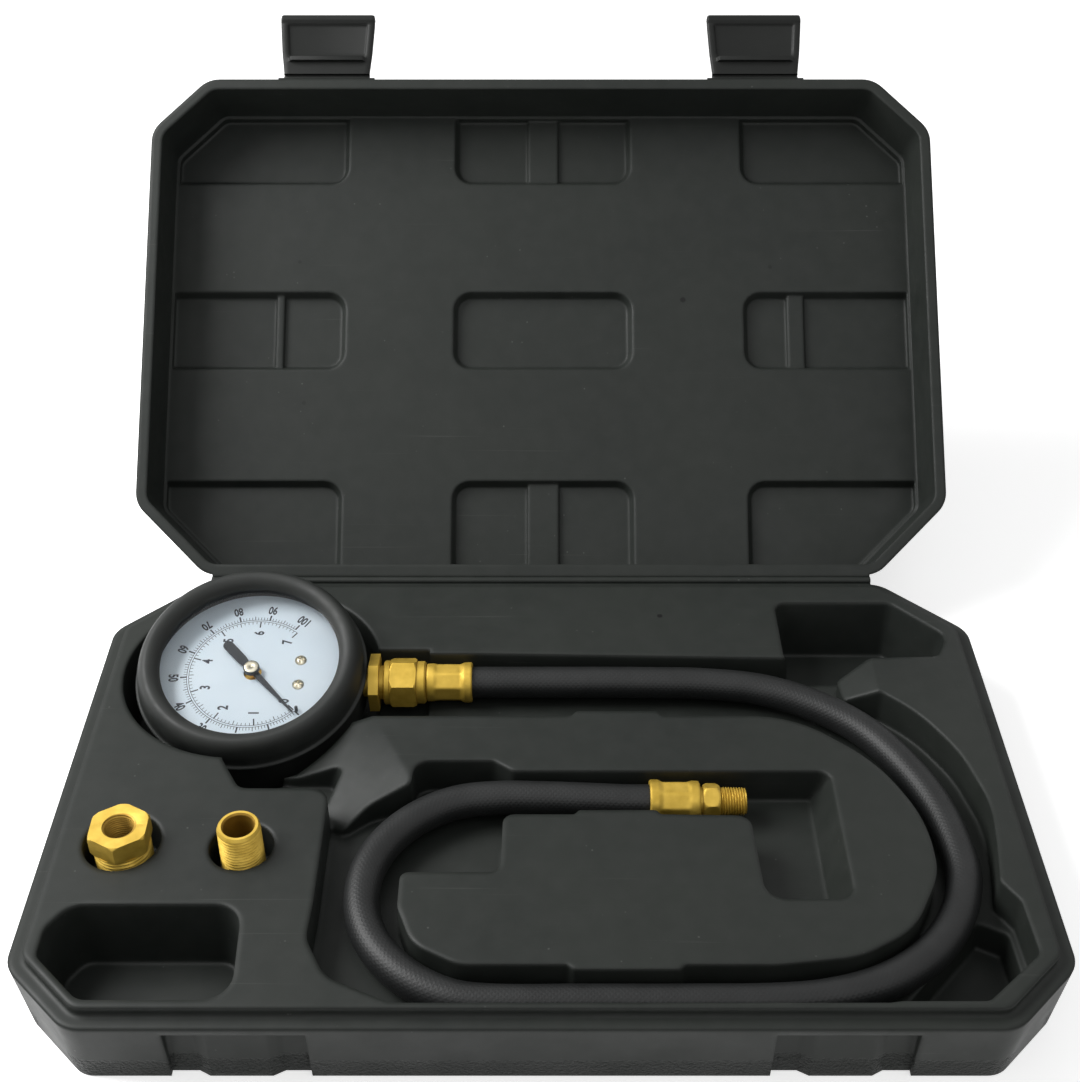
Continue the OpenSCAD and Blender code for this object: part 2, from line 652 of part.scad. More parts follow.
module bearing_holes() {
    for (p = [[0, 0], sector_at]) translate([p.x, p.y, -10]) cylinder(h = 20, r = arbor_r + arbor_gap);
}

module rear_plate() color(brass) at_gauge() difference() {
    union() {
        slab(rear_plate_z, rear_plate_z + plate_t, plate_corners);
        slab(rear_plate_z, rear_plate_z + plate_t,
            box_corners(tube_r - 19, -3.2, movement_screw_x[1] + 2.5, 3.2, 1));
    }
    bearing_holes();
    for (x = movement_screw_x) translate([x, 0, rear_plate_z - 1]) cylinder(h = 3, r = 1.05);
}

module front_plate() color(brass) at_gauge() difference() {
    slab(front_plate_z, front_plate_z + plate_t, plate_corners);
    bearing_holes();
}

module plate_pillars() color(brass) at_gauge()
    for (p = pillar_at) translate([p.x, p.y, rear_plate_z + plate_t])
        cylinder(h = front_plate_z - rear_plate_z - plate_t, r = 1.6);

movement_screw_x = [tube_r - 10.5, tube_r - 6.5];

module movement_screws() color(steel) at_gauge()
    for (x = movement_screw_x) translate([x, 0, 0]) {
        translate([0, 0, rear_plate_z - 2.5]) cylinder(h = 2.5 + plate_t, r = 1);
        translate([0, 0, rear_plate_z + plate_t]) cylinder(h = 1, r = 1.7);
    }

module pointer() color([0.12, 0.14, 0.16]) at_gauge()
    translate([0, 0, dial_h + 2.2]) rotate([0, 0, pointer_zero]) difference() {
        linear_extrude(0.5) union() {
            circle(r = 2.6);
            polygon([[0, -0.75], [pointer_tip, -0.25], [pointer_tip, 0.25], [0, 0.75]]);
            translate([-pointer_tail, -tail_r]) square([pointer_tail, 2 * tail_r]);
            translate([-pointer_tail, 0]) circle(r = tail_r);
        }
        translate([0, 0, -1]) cylinder(h = 3, r = arbor_r + 0.01);
    }

module pointer_cap() color(steel) at_gauge() translate([0, 0, dial_h + 2.7]) difference() {
    cylinder(h = 2.1, r1 = 2.8, r2 = 2.3);
    translate([0, 0, -1]) cylinder(h = 1.9, r = arbor_r + 0.01);
}

// Pressure tube: a flattened tube bent to an open ring, from the stem's saddle round to its tip
saddle_half = 19;
tip_dir = 85;
tube_z = -tube_w / 2 - 1.5;

module tube_section() {
    translate([tube_r - tube_t / 2, tube_z + tube_t / 2]) square([tube_t, tube_w - tube_t]);
    for (z = [tube_z + tube_t / 2, tube_z + tube_w - tube_t / 2])
        translate([tube_r, z]) circle(d = tube_t, $fn = 24);
}

module sector_ring(from, sweep, r0, r1, z0, z1) {
    rotate([0, 0, from]) rotate_extrude(angle = sweep) translate([r0, z0]) square([r1 - r0, z1 - z0]);
}

module pressure_tube() color(brass) at_gauge()
    rotate([0, 0, tip_dir]) rotate_extrude(angle = 360 - saddle_half - tip_dir) tube_section();

module tube_tip() color(brass) at_gauge() {
    sector_ring(tip_dir - 8, 8, tube_r - tube_t / 2 - 0.5, tube_r + tube_t / 2 + 0.5,
        tube_z, tube_z + tube_w);
    // Ear that reaches in under the link
    root_r = tube_r - tube_t / 2 - 0.2;
    translate([0, 0, link_z - clear - 0.8]) linear_extrude(0.8) polygon([
        tip_end + [-1.6, -1.6], tip_end + [1.6, -1.6],
        root_r * [cos(tip_dir - 7), sin(tip_dir - 7)], root_r * [cos(tip_dir - 0.5), sin(tip_dir - 0.5)]]);
}

// Stem: saddle for tube, movement and dial inside the can, hexagon and thread outside it
module stem_socket() color(brass) {
    at_gauge() difference() {
        union() {
            sector_ring(-saddle_half, 2 * saddle_half, tube_r - 12, tube_r + 5, tube_z - 0.5, rear_plate_z);
            sector_ring(-saddle_half, 2 * saddle_half, tube_r - tube_t / 2 - 1, tube_r + 5,
                rear_plate_z - eps, 3);
            at_dial_screws(rear_plate_z - eps) cylinder(h = dial_h - rear_plate_z + eps, r = 1.9);
            rod(tube_r, hex_x, stem_r);
            rod(hex_x, hex_x + hex_len, stem_hex / 2, 6);
            rod(hex_x + hex_len - eps, coupling_x + 9, stem_thread_r);
        }
        rod(tube_r - 4, coupling_x + 10, passage_r);
        for (x = movement_screw_x) translate([x, 0, rear_plate_z - 2.6]) cylinder(h = 3, r = 1.02);
        at_dial_screws(dial_h - 3.2) cylinder(h = 4, r = 1.02);
    }
}

// Hose and fittings

module chamfered_hex(x0, x1, across, n = 6) {
    intersection() {
        rod(x0, x1, across / 2, n);
        translate([x0, 0, 0]) rotate([0, 90, 0]) rotate_extrude() polygon([[0, 0], [across / 2 - 1.6, 0],
            [across / 2, 1.4], [across / 2, x1 - x0 - 1.4], [across / 2 - 1.6, x1 - x0], [0, x1 - x0]]);
    }
}

module hose_coupling() color(brass) on_stem() difference() {
    union() {
        rod(coupling_x, coupling_x + 2.2, coupling_hex / 2 - 1.4);
        chamfered_hex(coupling_x + 1.6, coupling_x + 13, coupling_hex);
        rod(coupling_x + 12, coupling_x + coupling_len, coupling_hex / 2 - 2);
    }
    rod(coupling_x - 1, coupling_x + 9.2, stem_thread_r + 0.05);
    rod(coupling_x, coupling_x + coupling_len + 1, passage_r);
}

// A ferrule is a sleeve with rolled ends and flats pressed into its middle; x = 0 is its fitting end
module ferrule() {
    r = ferrule_d / 2;
    difference() {
        rotate([0, 90, 0]) rotate_extrude() polygon([
            [0, 0], [r - 0.8, 0], [r, 0.8], [r, 2.2], [r - 0.5, 3],
            [r - 0.5, ferrule_len - 4.2], [r, ferrule_len - 3], [r, ferrule_len - 0.6],
            [r - 0.6, ferrule_len], [0, ferrule_len]]);
        for (i = [0:crimp_flats - 1]) rotate([360 / crimp_flats * i, 0, 0])
            translate([3.4, -r, r * cos(180 / crimp_flats) - 0.15]) cube([ferrule_len - 8, 2 * r, r]);
        rod(-1, 4, passage_r);
    }
}

module gauge_ferrule() color(brass) on_stem() translate([ferrule_x, 0, 0]) ferrule();
module end_ferrule() color(brass) at_end() translate([ferrule_len, 0, 0]) rotate([0, 180, 0]) ferrule();

module end_fitting() color(brass) at_end() translate([ferrule_len, 0, 0]) difference() {
    hex_end = 7;
    union() {
        rod(0, 1.4, end_hex / 2 - 1.6);
        chamfered_hex(1, hex_end, end_hex);
        rod(hex_end - 0.5, hex_end + end_thread_len, end_thread_r);
    }
    rod(-1, hex_end + end_thread_len + 1, passage_r);
}

// Swept tube: a ring of points square to the path at each station, with level sides
function path_dir(path, i) = unit(path[min(i + 1, len(path) - 1)] - path[max(i - 1, 0)]);
function ring_points(centre, dir, r, sides) =
    let (side = unit(cross([0, 0, 1], dir)), up = cross(dir, side))
    [for (k = [0:sides - 1]) let (a = 360 * k / sides) centre + r * (cos(a) * side + sin(a) * up)];

module swept_tube(path, r, sides) {
    n = len(path);
    polyhedron(
        [for (i = [0:n - 1]) each ring_points(path[i], path_dir(path, i), r, sides)],
        [[for (k = [sides - 1:-1:0]) k], [for (k = [0:sides - 1]) (n - 1) * sides + k],
         for (i = [0:n - 2], k = [0:sides - 1])
            let (a = i * sides + k, b = i * sides + (k + 1) % sides)
            each [[a, b, b + sides], [a, b + sides, a + sides]]]);
}

module hose() color(rubber) {
    path = concat([[hose_start, gauge_y, line_z], [hose_start + 8, gauge_y, line_z]],
        [for (p = hose_route) [p.x, p.y, line_z + p.z]],
        [[end_x - 4, end_y, line_z], [end_x, end_y, line_z]]);
    swept_tube(path, hose_d / 2, hose_sides);
}

// Adapters stand on the floors of their sockets

module adapter_bushing() color(brass) translate([bushing_at.x, bushing_at.y, channel_z]) difference() {
    shank = deck_z - channel_z;
    union() {
        cylinder(h = shank + 0.5, r = bushing_r);
        translate([0, 0, shank]) rotate([0, 0, bushing_turn]) rotate([0, -90, 0])
            chamfered_hex(0, bushing_head, bushing_hex);
    }
    translate([0, 0, -1]) cylinder(h = shank + bushing_head + 2, r = bushing_bore_r);
    translate([0, 0, shank + bushing_head - 1])
        cylinder(h = 1 + eps, r1 = bushing_bore_r, r2 = bushing_bore_r + 1);
}

module adapter_nipple() color(brass) translate([nipple_at.x, nipple_at.y, channel_z]) difference() {
    len = deck_z + nipple_up - channel_z;
    rotate_extrude() polygon([[0, 0], [nipple_r - 0.8, 0], [nipple_r, 0.8],
        [nipple_r, len - 0.8], [nipple_r - 0.8, len], [0, len]]);
    translate([0, 0, -1]) cylinder(h = len + 2, r = nipple_bore_r);
}

case_base();
hinge_bead();
case_lid();
latch_left();
latch_right();
gauge_boot();
gauge_can();
lens();
lens_seat();
dial_plate();
dial_screws();
pointer();
pointer_cap();
pinion_arbor();
sector_gear();
tip_link();
hairspring();
rear_plate();
front_plate();
plate_pillars();
movement_screws();
pressure_tube();
tube_tip();
stem_socket();
hose_coupling();
gauge_ferrule();
hose();
end_ferrule();
end_fitting();
adapter_bushing();
adapter_nipple();
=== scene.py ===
# %% [markdown]
# # An oil pressure tester in its carrying case
# This lesson dresses a finished CAD model. The solids say where every piece sits and how it moves.
# Blender adds what the solids leave plain: moulded edges, threads, the printed dial and the finishes.
# Everything is in metres, with the origin in the middle of the case's underside, X to the right,
# Y towards the hinge and Z up.

import bpy
import bmesh
import numpy as np
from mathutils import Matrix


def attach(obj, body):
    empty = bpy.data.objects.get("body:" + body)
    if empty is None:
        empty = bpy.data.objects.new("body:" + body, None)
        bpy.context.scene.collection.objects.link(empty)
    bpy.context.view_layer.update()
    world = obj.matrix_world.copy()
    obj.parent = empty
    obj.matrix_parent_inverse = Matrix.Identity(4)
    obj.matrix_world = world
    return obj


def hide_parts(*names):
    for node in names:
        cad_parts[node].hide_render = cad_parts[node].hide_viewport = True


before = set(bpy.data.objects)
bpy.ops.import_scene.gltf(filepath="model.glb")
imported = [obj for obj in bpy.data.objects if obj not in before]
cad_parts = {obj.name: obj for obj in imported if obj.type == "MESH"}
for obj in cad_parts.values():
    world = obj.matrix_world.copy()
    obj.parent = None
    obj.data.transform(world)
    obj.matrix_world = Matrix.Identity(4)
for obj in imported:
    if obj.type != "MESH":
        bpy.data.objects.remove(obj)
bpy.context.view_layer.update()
scene = bpy.context.scene
mm = 0.001

# %% [markdown]
# ## The camera
# The picture was taken from in front and above, with a long lens. A pinhole camera has only a few
# unknowns, and the case's straight rims fix them: the place, the downward tilt and the focal length.
# Setting these first means that each later render can be laid beside the photograph.

# %% Camera
film_width = 36.0
focal_pixels = 1622.4
photo_width = 1080
tilt_down = 36.46
camera_data = bpy.data.cameras.new("camera")
camera_data.sensor_fit = "HORIZONTAL"
camera_data.sensor_width = film_width
camera_data.lens = film_width * focal_pixels / photo_width
camera_data.clip_start = 0.01
camera = bpy.data.objects.new("camera", camera_data)
camera.location = (-0.0004, -0.4146, 0.4359)
camera.rotation_euler = (np.radians(90 - tilt_down), 0, 0)
scene.collection.objects.link(camera)
scene.camera = camera
print("lens", round(camera_data.lens, 2), "mm")

# %% [markdown]
# ## Sheets of points
# Nearly every new piece here is one sheet of points: rows along the piece, columns round it.
# If the columns meet again the sheet is a tube, and if the rows meet too it is a closed ring.
# The helper turns such a sheet into a mesh with one call, so a piece is only a formula for its points.


# %% Mesh from a sheet of points
def sheet_faces(rows, columns, ring=True, loop=False):
    """Quads of a grid of rows x columns, as rows of four corner numbers.

    With ring, the last column joins the first. With loop, the last row joins the first.
    """
    i = np.arange(rows if loop else rows - 1)[:, None]
    j = np.arange(columns if ring else columns - 1)[None, :]
    a = i * columns + j
    b = i * columns + (j + 1) % columns
    c = (i + 1) % rows * columns + (j + 1) % columns
    d = (i + 1) % rows * columns + j
    return np.stack([a, b, c, d], axis=-1).reshape(-1, 4)


def sheet_piece(name, points, ring=True, loop=False, caps=False, sharp=40, uv=None):
    """A mesh object from a grid of points with the shape (rows, columns, 3).

    caps closes both open ends with one flat face each. Edges sharper than sharp degrees stay crisp.
    uv is a grid of the same shape with two numbers a point, and then needs one more row and column.
    """
    rows, columns = points.shape[:2]
    faces = sheet_faces(rows, columns, ring, loop)
    polygons = faces.tolist()
    if caps:
        polygons.append(list(range(columns - 1, -1, -1)))
        polygons.append(list(range((rows - 1) * columns, rows * columns)))
    mesh = bpy.data.meshes.new(name)
    mesh.from_pydata(points.reshape(-1, 3).tolist(), [], polygons)
    if uv is not None:
        layer = mesh.uv_layers.new(name="UVMap")
        corner = np.zeros((len(mesh.loops), 2))
        i, j = np.divmod(np.arange(len(faces)), columns if ring else columns - 1)
        corner[: 4 * len(faces)] = np.stack(
            [uv[i, j], uv[i, j + 1], uv[i + 1, j + 1], uv[i + 1, j]], axis=1
        ).reshape(-1, 2)
        layer.data.foreach_set("uv", corner.ravel())
    return show(name, mesh, sharp)


def show(name, mesh, sharp=40):
    """Links a mesh as an object at the origin, smooth except at edges over sharp degrees."""
    mesh.update()
    solid = bmesh.new()
    solid.from_mesh(mesh)
    bmesh.ops.recalc_face_normals(solid, faces=solid.faces)
    solid.to_mesh(mesh)
    solid.free()
    mesh.polygons.foreach_set("use_smooth", np.ones(len(mesh.polygons), bool))
    mesh.set_sharp_from_angle(angle=np.radians(sharp))
    piece = bpy.data.objects.new(name, mesh)
    scene.collection.objects.link(piece)
    return piece


# %% [markdown]
# ## The hose
# The hose is about 0.6 m of rubber tube, 12 mm thick, with a cloth wrap pressed into its skin.
# It leaves the gauge's fitting, runs once round the tray and comes back to the middle.
# The route below is the one that the solid follows. A Catmull-Rom curve passes through each of its
# points without corners, and a ring of points is carried along it. The rings' own width and the
# distance along the hose are kept as a UV map, because the wrap's pattern follows the hose.

# %% Hose route
line_height = 23.5 * mm
hose_radius = 6.0 * mm
hose_route = mm * np.array([
    [-26.2, 52.5, 0], [-18.2, 52.5, 0], [0, 52.5, 0], [24, 52.5, 0], [44, 52.3, 0], [62, 51.7, 0],
    [83, 48.5, 0], [102, 40, -0.1], [119, 26, -0.3], [131, 7, -0.5], [139, -14, -0.8],
    [142, -38, -1.1], [139.5, -53, -1.2], [132.5, -67, -1.3], [121.5, -79, -1.4], [107, -88, -1.5],
    [90, -93.3, -1.5], [72, -95.2, -1.5], [45, -95.5, -1.5], [15, -95.5, -1.5], [-15, -95.5, -1.5],
    [-30, -93, -1.4], [-43.5, -85, -1.2], [-53.5, -73.5, -1], [-58.8, -59.5, -0.8],
    [-58.8, -44.5, -0.6], [-53.5, -30.5, -0.4], [-43.5, -18.8, -0.2], [-30, -11.2, 0],
    [-15, -8.8, 0], [2, -9, 0], [18, -9.8, 0], [28, -10.4, 0], [34, -10.5, 0], [38, -10.5, 0]])
hose_route[:, 2] += line_height


def smooth_route(route, steps):
    """Catmull-Rom curve: between two points p1 and p2 it mixes p0 to p3 with cubic weights in t."""
    padded = np.vstack([2 * route[0] - route[1], route, 2 * route[-1] - route[-2]])
    p0, p1, p2, p3 = (padded[k : len(padded) - 3 + k, None] for k in range(4))
    t = np.linspace(0, 1, steps, endpoint=False)[None, :, None]
    curve = 0.5 * (2 * p1 + (p2 - p0) * t + (2 * p0 - 5 * p1 + 4 * p2 - p3) * t**2
                   + (3 * p1 - p0 - 3 * p2 + p3) * t**3)
    return np.vstack([curve.reshape(-1, 3), route[-1]])


def along(path):
    """Distance from the start of a path to each of its points."""
    return np.concatenate([[0], np.cumsum(np.linalg.norm(np.diff(path, axis=0), axis=1))])


hose_path = smooth_route(hose_route, 8)


# %% Hose skin
def tube_points(path, radius, columns):
    """Rings square to a path: centre + radius * (cos a * side + sin a * up), with side kept level."""
    ahead = np.gradient(path, axis=0)
    ahead /= np.linalg.norm(ahead, axis=1, keepdims=True)
    side = np.cross([0.0, 0.0, 1.0], ahead)
    side /= np.linalg.norm(side, axis=1, keepdims=True)
    up = np.cross(ahead, side)
    a = np.linspace(0, 2 * np.pi, columns, endpoint=False)[None, :, None]
    return path[:, None] + radius * (np.cos(a) * side[:, None] + np.sin(a) * up[:, None])


hose_columns = 32
hose_uv = np.stack(np.meshgrid(along(hose_path), np.linspace(0, 1, hose_columns + 1), indexing="ij"), -1)
hose = sheet_piece("wrapped_hose", tube_points(hose_path, hose_radius, hose_columns), caps=True,
                   sharp=50, uv=hose_uv)
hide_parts("hose")
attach(hose, "tester")

# %% [markdown]
# ## Brass fittings as radius formulas
# A turned piece is a radius that depends on two numbers, the place along the axis and the angle round it.
# A hexagon is such a radius as well, and so is a thread: its groove moves along by one pitch a turn.
# Where a chamfer cuts a hexagon, the smaller of the two radii wins, which is just what a lathe does.


# %% Radius formulas
def hexagon(angle, across, sides=6):
    """Radius of a regular polygon, whose corners lie across / 2 from the axis, at each angle."""
    step = 2 * np.pi / sides
    return across / 2 * np.cos(step / 2) / np.cos((angle % step) - step / 2)


def thread(x, angle, crest, depth, pitch):
    """Radius of a right-hand thread: a ridge that falls by depth in a rounded groove each pitch."""
    turn = (x / pitch - angle / (2 * np.pi)) % 1
    return crest - depth * (0.5 - 0.5 * np.cos(2 * np.pi * turn)) ** 0.8


def ramp(x, start, end):
    """Smooth step from 0 at start to 1 at end."""
    t = np.clip((x - start) / (end - start), 0, 1)
    return t * t * (3 - 2 * t)


def profile(x, stations, radii):
    """Radius along the axis, straight between the stations."""
    return np.interp(x, stations, radii)


def turned_points(x, outer, inner, columns):
    """Sheet of a sleeve along +X: out along radius outer(x, a), then back along the bore inner(x, a)."""
    a = np.linspace(0, 2 * np.pi, columns, endpoint=False)
    xs, angles = np.meshgrid(x, a, indexing="ij")
    r = np.concatenate([outer(xs, angles), inner(xs, angles)[::-1]])
    xs = np.concatenate([xs, xs[::-1]])
    angles = np.concatenate([angles, angles[::-1]])
    return np.stack([xs, r * np.cos(angles), r * np.sin(angles)], axis=-1)


def placed(points, origin, axis="x", turn=0.0):
    """Moves a sheet from the X axis to its place. axis z stands it up, and turn rolls it about its axis."""
    x, y, z = np.moveaxis(points, -1, 0)
    c, s = np.cos(turn), np.sin(turn)
    y, z = c * y - s * z, s * y + c * z
    sheet = np.stack([x, y, z] if axis == "x" else [y, z, x], axis=-1)
    return sheet + np.asarray(origin)


# %% Crimped ferrules
gauge_place = mm * np.array([-109.5, 52.5, 23.5])
end_place = mm * np.array([38.0, -10.5, 23.5])
gauge_ferrule_place = gauge_place + mm * np.array([65.7, 0, 0])
ferrule_length = 17.6 * mm


def ferrule_radius_at(x, angle):
    """A narrow band, a pressed middle with eight flats, and a wider band at the hose.

    The flats are an octagon with its corners turned down. Both bands run into it along smooth steps.
    """
    band = profile(x, mm * np.array([0, 0.25, 0.7, 1.5, 16.9, 17.3, 17.6]),
                   mm * np.array([6.5, 6.95, 7.15, 7.2, 7.7, 7.6, 7.2]))
    flats = np.minimum(hexagon(angle + np.pi / 8, 14.7 * mm, 8), 7.24 * mm)
    pressed = ramp(x, 2.7 * mm, 4.6 * mm) * ramp(x, 14.9 * mm, 12.6 * mm)
    return band + pressed * (flats - band)


ferrule_x = np.linspace(0, ferrule_length, 89)
ferrule_sheet = turned_points(ferrule_x, ferrule_radius_at, lambda x, a: 0 * x + 5.2 * mm, 96)
gauge_ferrule = sheet_piece("gauge_ferrule_crimped", placed(ferrule_sheet, gauge_ferrule_place),
                            loop=True, sharp=24)
mirrored = ferrule_sheet * np.array([-1, 1, 1]) + np.array([ferrule_length, 0, 0])
end_ferrule = sheet_piece("end_ferrule_crimped", placed(mirrored, end_place), loop=True, sharp=24)
for piece, node in ((gauge_ferrule, "gauge_ferrule"), (end_ferrule, "end_ferrule")):
    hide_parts(node)
    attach(piece, "tester")
print("ferrules", len(gauge_ferrule.data.polygons), "faces each")

# %% End fitting with its taper thread
end_hex_x = 7.0 * mm
end_tip_x = 16.4 * mm


def end_fitting_radius(x, angle):
    """Collar, chamfered hexagon, neck and a thread whose crest falls a little towards the tip."""
    collar = 0 * x + 5.0 * mm
    body = np.minimum(hexagon(angle, 13.2 * mm),
                      profile(x, mm * np.array([1.0, 2.3, 5.7, 7.0]), mm * np.array([5.6, 6.6, 6.6, 5.5])))
    crest = profile(x, mm * np.array([7.0, 7.7, 15.6, 16.4]), mm * np.array([4.5, 5.1, 4.95, 4.3]))
    cut = ramp(x, 7.2 * mm, 8.2 * mm) * 0.62 * mm
    screw = thread(x, angle, crest, cut, 0.94 * mm)
    return np.where(x < 1.0 * mm, collar, np.where(x < end_hex_x, body, screw))


end_x = np.concatenate([mm * np.array([0, 0.99, 1.0, 1.4, 1.8, 2.3, 4, 5.7, 6.1, 6.5, 6.99]),
                        np.linspace(7.0 * mm, end_tip_x, 96)])
end_sheet = turned_points(end_x, end_fitting_radius, lambda x, a: 0 * x + 2.2 * mm, 72)
end_fitting = sheet_piece("end_fitting_threaded",
                          placed(end_sheet, end_place + np.array([ferrule_length, 0, 0]), turn=np.pi / 2),
                          loop=True, sharp=34)
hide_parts("end_fitting")
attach(end_fitting, "tester")

# %% [markdown]
# The fitting on the hose's far end goes with it. The far end lies in the tray, so nothing of it hangs or
# needs winding up.

print("hose in place")


# %% Coupling beside the gauge
def coupling_radius(x, angle):
    """Two round collars with a chamfered hexagon between them."""
    collars = profile(x, mm * np.array([0, 0.5, 2.2, 2.4, 12.4, 12.6, 15.4, 16.0]),
                      mm * np.array([7.8, 8.4, 8.4, 7.9, 7.9, 8.1, 8.1, 7.5]))
    body = np.minimum(hexagon(angle, 19.6 * mm),
                      profile(x, mm * np.array([2.4, 3.4, 11.6, 12.4]), mm * np.array([8.7, 9.8, 9.8, 8.8])))
    return np.where((x > 2.39 * mm) & (x < 12.41 * mm), body, collars)


coupling_x = mm * np.array([0, 0.25, 0.5, 1.2, 2.2, 2.38, 2.4, 2.7, 3.0, 3.2, 3.4, 7.5, 11.6, 11.8, 12, 12.2,
                            12.4, 12.42, 12.6, 14, 15.4, 15.7, 16])
coupling_sheet = turned_points(coupling_x, coupling_radius, lambda x, a: 0 * x + 2.2 * mm, 96)
coupling = sheet_piece("hose_coupling_turned",
                       placed(coupling_sheet, gauge_place + mm * np.array([49.7, 0, 0]), turn=np.pi / 2),
                       loop=True, sharp=26)
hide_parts("hose_coupling")
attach(coupling, "tester")

# %% [markdown]
# ## The two adapters
# One adapter has a hexagon over a thread and a threaded hole. The other is a plain threaded nipple.
# Both stand in sockets of the tray. They use the same formulas, stood up along Z.

# %% Adapters
socket_floor = 15.6
bushing_place = mm * np.array([-141, -36, socket_floor])
bushing_turn = np.radians(31)
bushing_top = 22.5 * mm
bushing_shank = 14.9 * mm
hair = 1e-6
nipple_place = mm * np.array([-100.5, -38, socket_floor])
nipple_top = 24.9 * mm


def bushing_radius(x, angle):
    """Threaded shank below, then a hexagon whose edges are cut by a cone at top and bottom."""
    shank = thread(x, angle, profile(x, mm * np.array([0, 1.2, 14.9]), mm * np.array([8.9, 9.7, 9.7])),
                   ramp(x, 14.7 * mm, 14.0 * mm) * 0.75 * mm, 1.55 * mm)
    cone = profile(x, mm * np.array([14.9, 15.5, 21.7, 22.5]), mm * np.array([10.3, 10.9, 10.9, 10.1]))
    return np.where(x < bushing_shank - hair, shank, np.minimum(hexagon(angle, 21.8 * mm), cone))


def bushing_hole(x, angle):
    """Inner thread with a countersunk mouth."""
    mouth = profile(x, mm * np.array([0, 21.8, 22.5]), mm * np.array([0, 0, 0.7]))
    return thread(x, angle, 5.25 * mm, 0.42 * mm, 0.94 * mm) + mouth


bushing_x = np.concatenate([np.linspace(0, bushing_shank - 2 * hair, 90),
                            np.linspace(bushing_shank, bushing_top, 70)])
bushing_sheet = turned_points(bushing_x, bushing_radius, bushing_hole, 96)
bushing = sheet_piece("adapter_bushing_threaded", placed(bushing_sheet, bushing_place, "z", bushing_turn),
                      loop=True, sharp=30)


def nipple_radius(x, angle):
    """A thread with a slight taper over the whole length, and a short bevel at each end."""
    crest = profile(x, mm * np.array([0, 1.0, 23.8, 24.9]), mm * np.array([6.7, 7.5, 7.32, 6.62]))
    return thread(x, angle, crest, 0.62 * mm * ramp(x, 24.2 * mm, 23.2 * mm), 1.27 * mm)


def nipple_bore(x, angle):
    """Smooth bore with a small countersink at the top."""
    return profile(x, mm * np.array([0, 24.2, 24.9]), mm * np.array([5.2, 5.2, 5.7]))


nipple_x = np.linspace(0, nipple_top, 170)
nipple_sheet = turned_points(nipple_x, nipple_radius, nipple_bore, 96)
nipple = sheet_piece("adapter_nipple_threaded", placed(nipple_sheet, nipple_place, "z"),
                     loop=True, sharp=30)
for piece, node in ((bushing, "adapter_bushing"), (nipple, "adapter_nipple")):
    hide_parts(node)
    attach(piece, node)
print("adapters threaded")

# %% [markdown]
# ## The moulded case
# The tray and the lid are blow-moulded, so no edge on them is sharp. Their CAD meshes are loose triangles.
# A copy is merged and its flat triangles are joined. The rounds are then left to the finish, where a Bevel
# node bends the shading over each edge. That stays clean where many small walls meet in one corner.


# %% Moulded copies
def moulded(node, body):
    """A merged copy of a CAD node, smooth except at edges over 26 degrees."""
    solid = bmesh.new()
    solid.from_mesh(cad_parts[node].data)
    bmesh.ops.remove_doubles(solid, verts=solid.verts, dist=2e-5)
    bmesh.ops.dissolve_limit(solid, angle_limit=np.radians(0.8), verts=solid.verts, edges=solid.edges)
    bmesh.ops.triangulate(solid, faces=solid.faces, quad_method="BEAUTY", ngon_method="BEAUTY")
    mesh = bpy.data.meshes.new(node + "_moulded")
    solid.to_mesh(mesh)
    solid.free()
    if "custom_normal" in mesh.attributes:
        mesh.attributes.remove(mesh.attributes["custom_normal"])
    mesh.polygons.foreach_set("use_smooth", np.ones(len(mesh.polygons), bool))
    mesh.set_sharp_from_angle(angle=np.radians(26))
    piece = bpy.data.objects.new(node + "_moulded", mesh)
    scene.collection.objects.link(piece)
    flats = piece.modifiers.new("flats", "WEIGHTED_NORMAL")
    flats.keep_sharp = True
    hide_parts(node)
    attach(piece, body)
    print(node, len(mesh.polygons), "faces")
    return piece


tray = moulded("case_base", "base")
lid = moulded("case_lid", "lid")

# %% [markdown]
# ## The latches
# A latch is a shallow dish: thick side rims, a sunk middle, a bar that hooks under the tray's lip and a
# rolled edge for the finger. One cross-section across the latch is carried along it. Its width, its two
# faces and the depth of its middle all depend on the distance from the bead that it turns on.


# %% Latch faces
hinge_y, rim_z = 111.4, 27.0
lid_angle = 136.6
latch_spread = 93.5
bead_reach, bead_up = 222.2, 4.0
bead_radius = 1.3
roll_start = 28.4
roll_length = 1.6


def latch_faces(v):
    """Inner and outer height and half width at a distance v from the bead, in millimetres.

    The bead is round, a thin neck follows, and the rolled edge closes along a quarter of an ellipse.
    """
    bead = np.sqrt(np.clip(bead_radius**2 - v * v, 0, None))
    tip = np.sqrt(np.clip(1 - np.clip((v - roll_start) / roll_length, 0, 1) ** 2, 0, None))
    inner = np.where(v < 1.95, np.maximum(bead, np.where(v < 0, 0, -0.2)),
                     1.3 + 0.9 * ramp(v, roll_start - 3.0, roll_start - 1.0))
    outer = np.where(v < 0, -bead, -1.3 - 1.4 * ramp(v, roll_start - 2.2, roll_start - 0.2))
    inner = np.where(v > roll_start, -0.2 + 2.4 * tip, inner)
    outer = np.where(v > roll_start, -0.2 - 2.5 * tip, outer)
    half = np.interp(v, [0, 3, 12, 24, 28, 29.4, 30], [18.7, 18.7, 19.7, 20.5, 20.65, 20.4, 19.7])
    return inner, outer, half


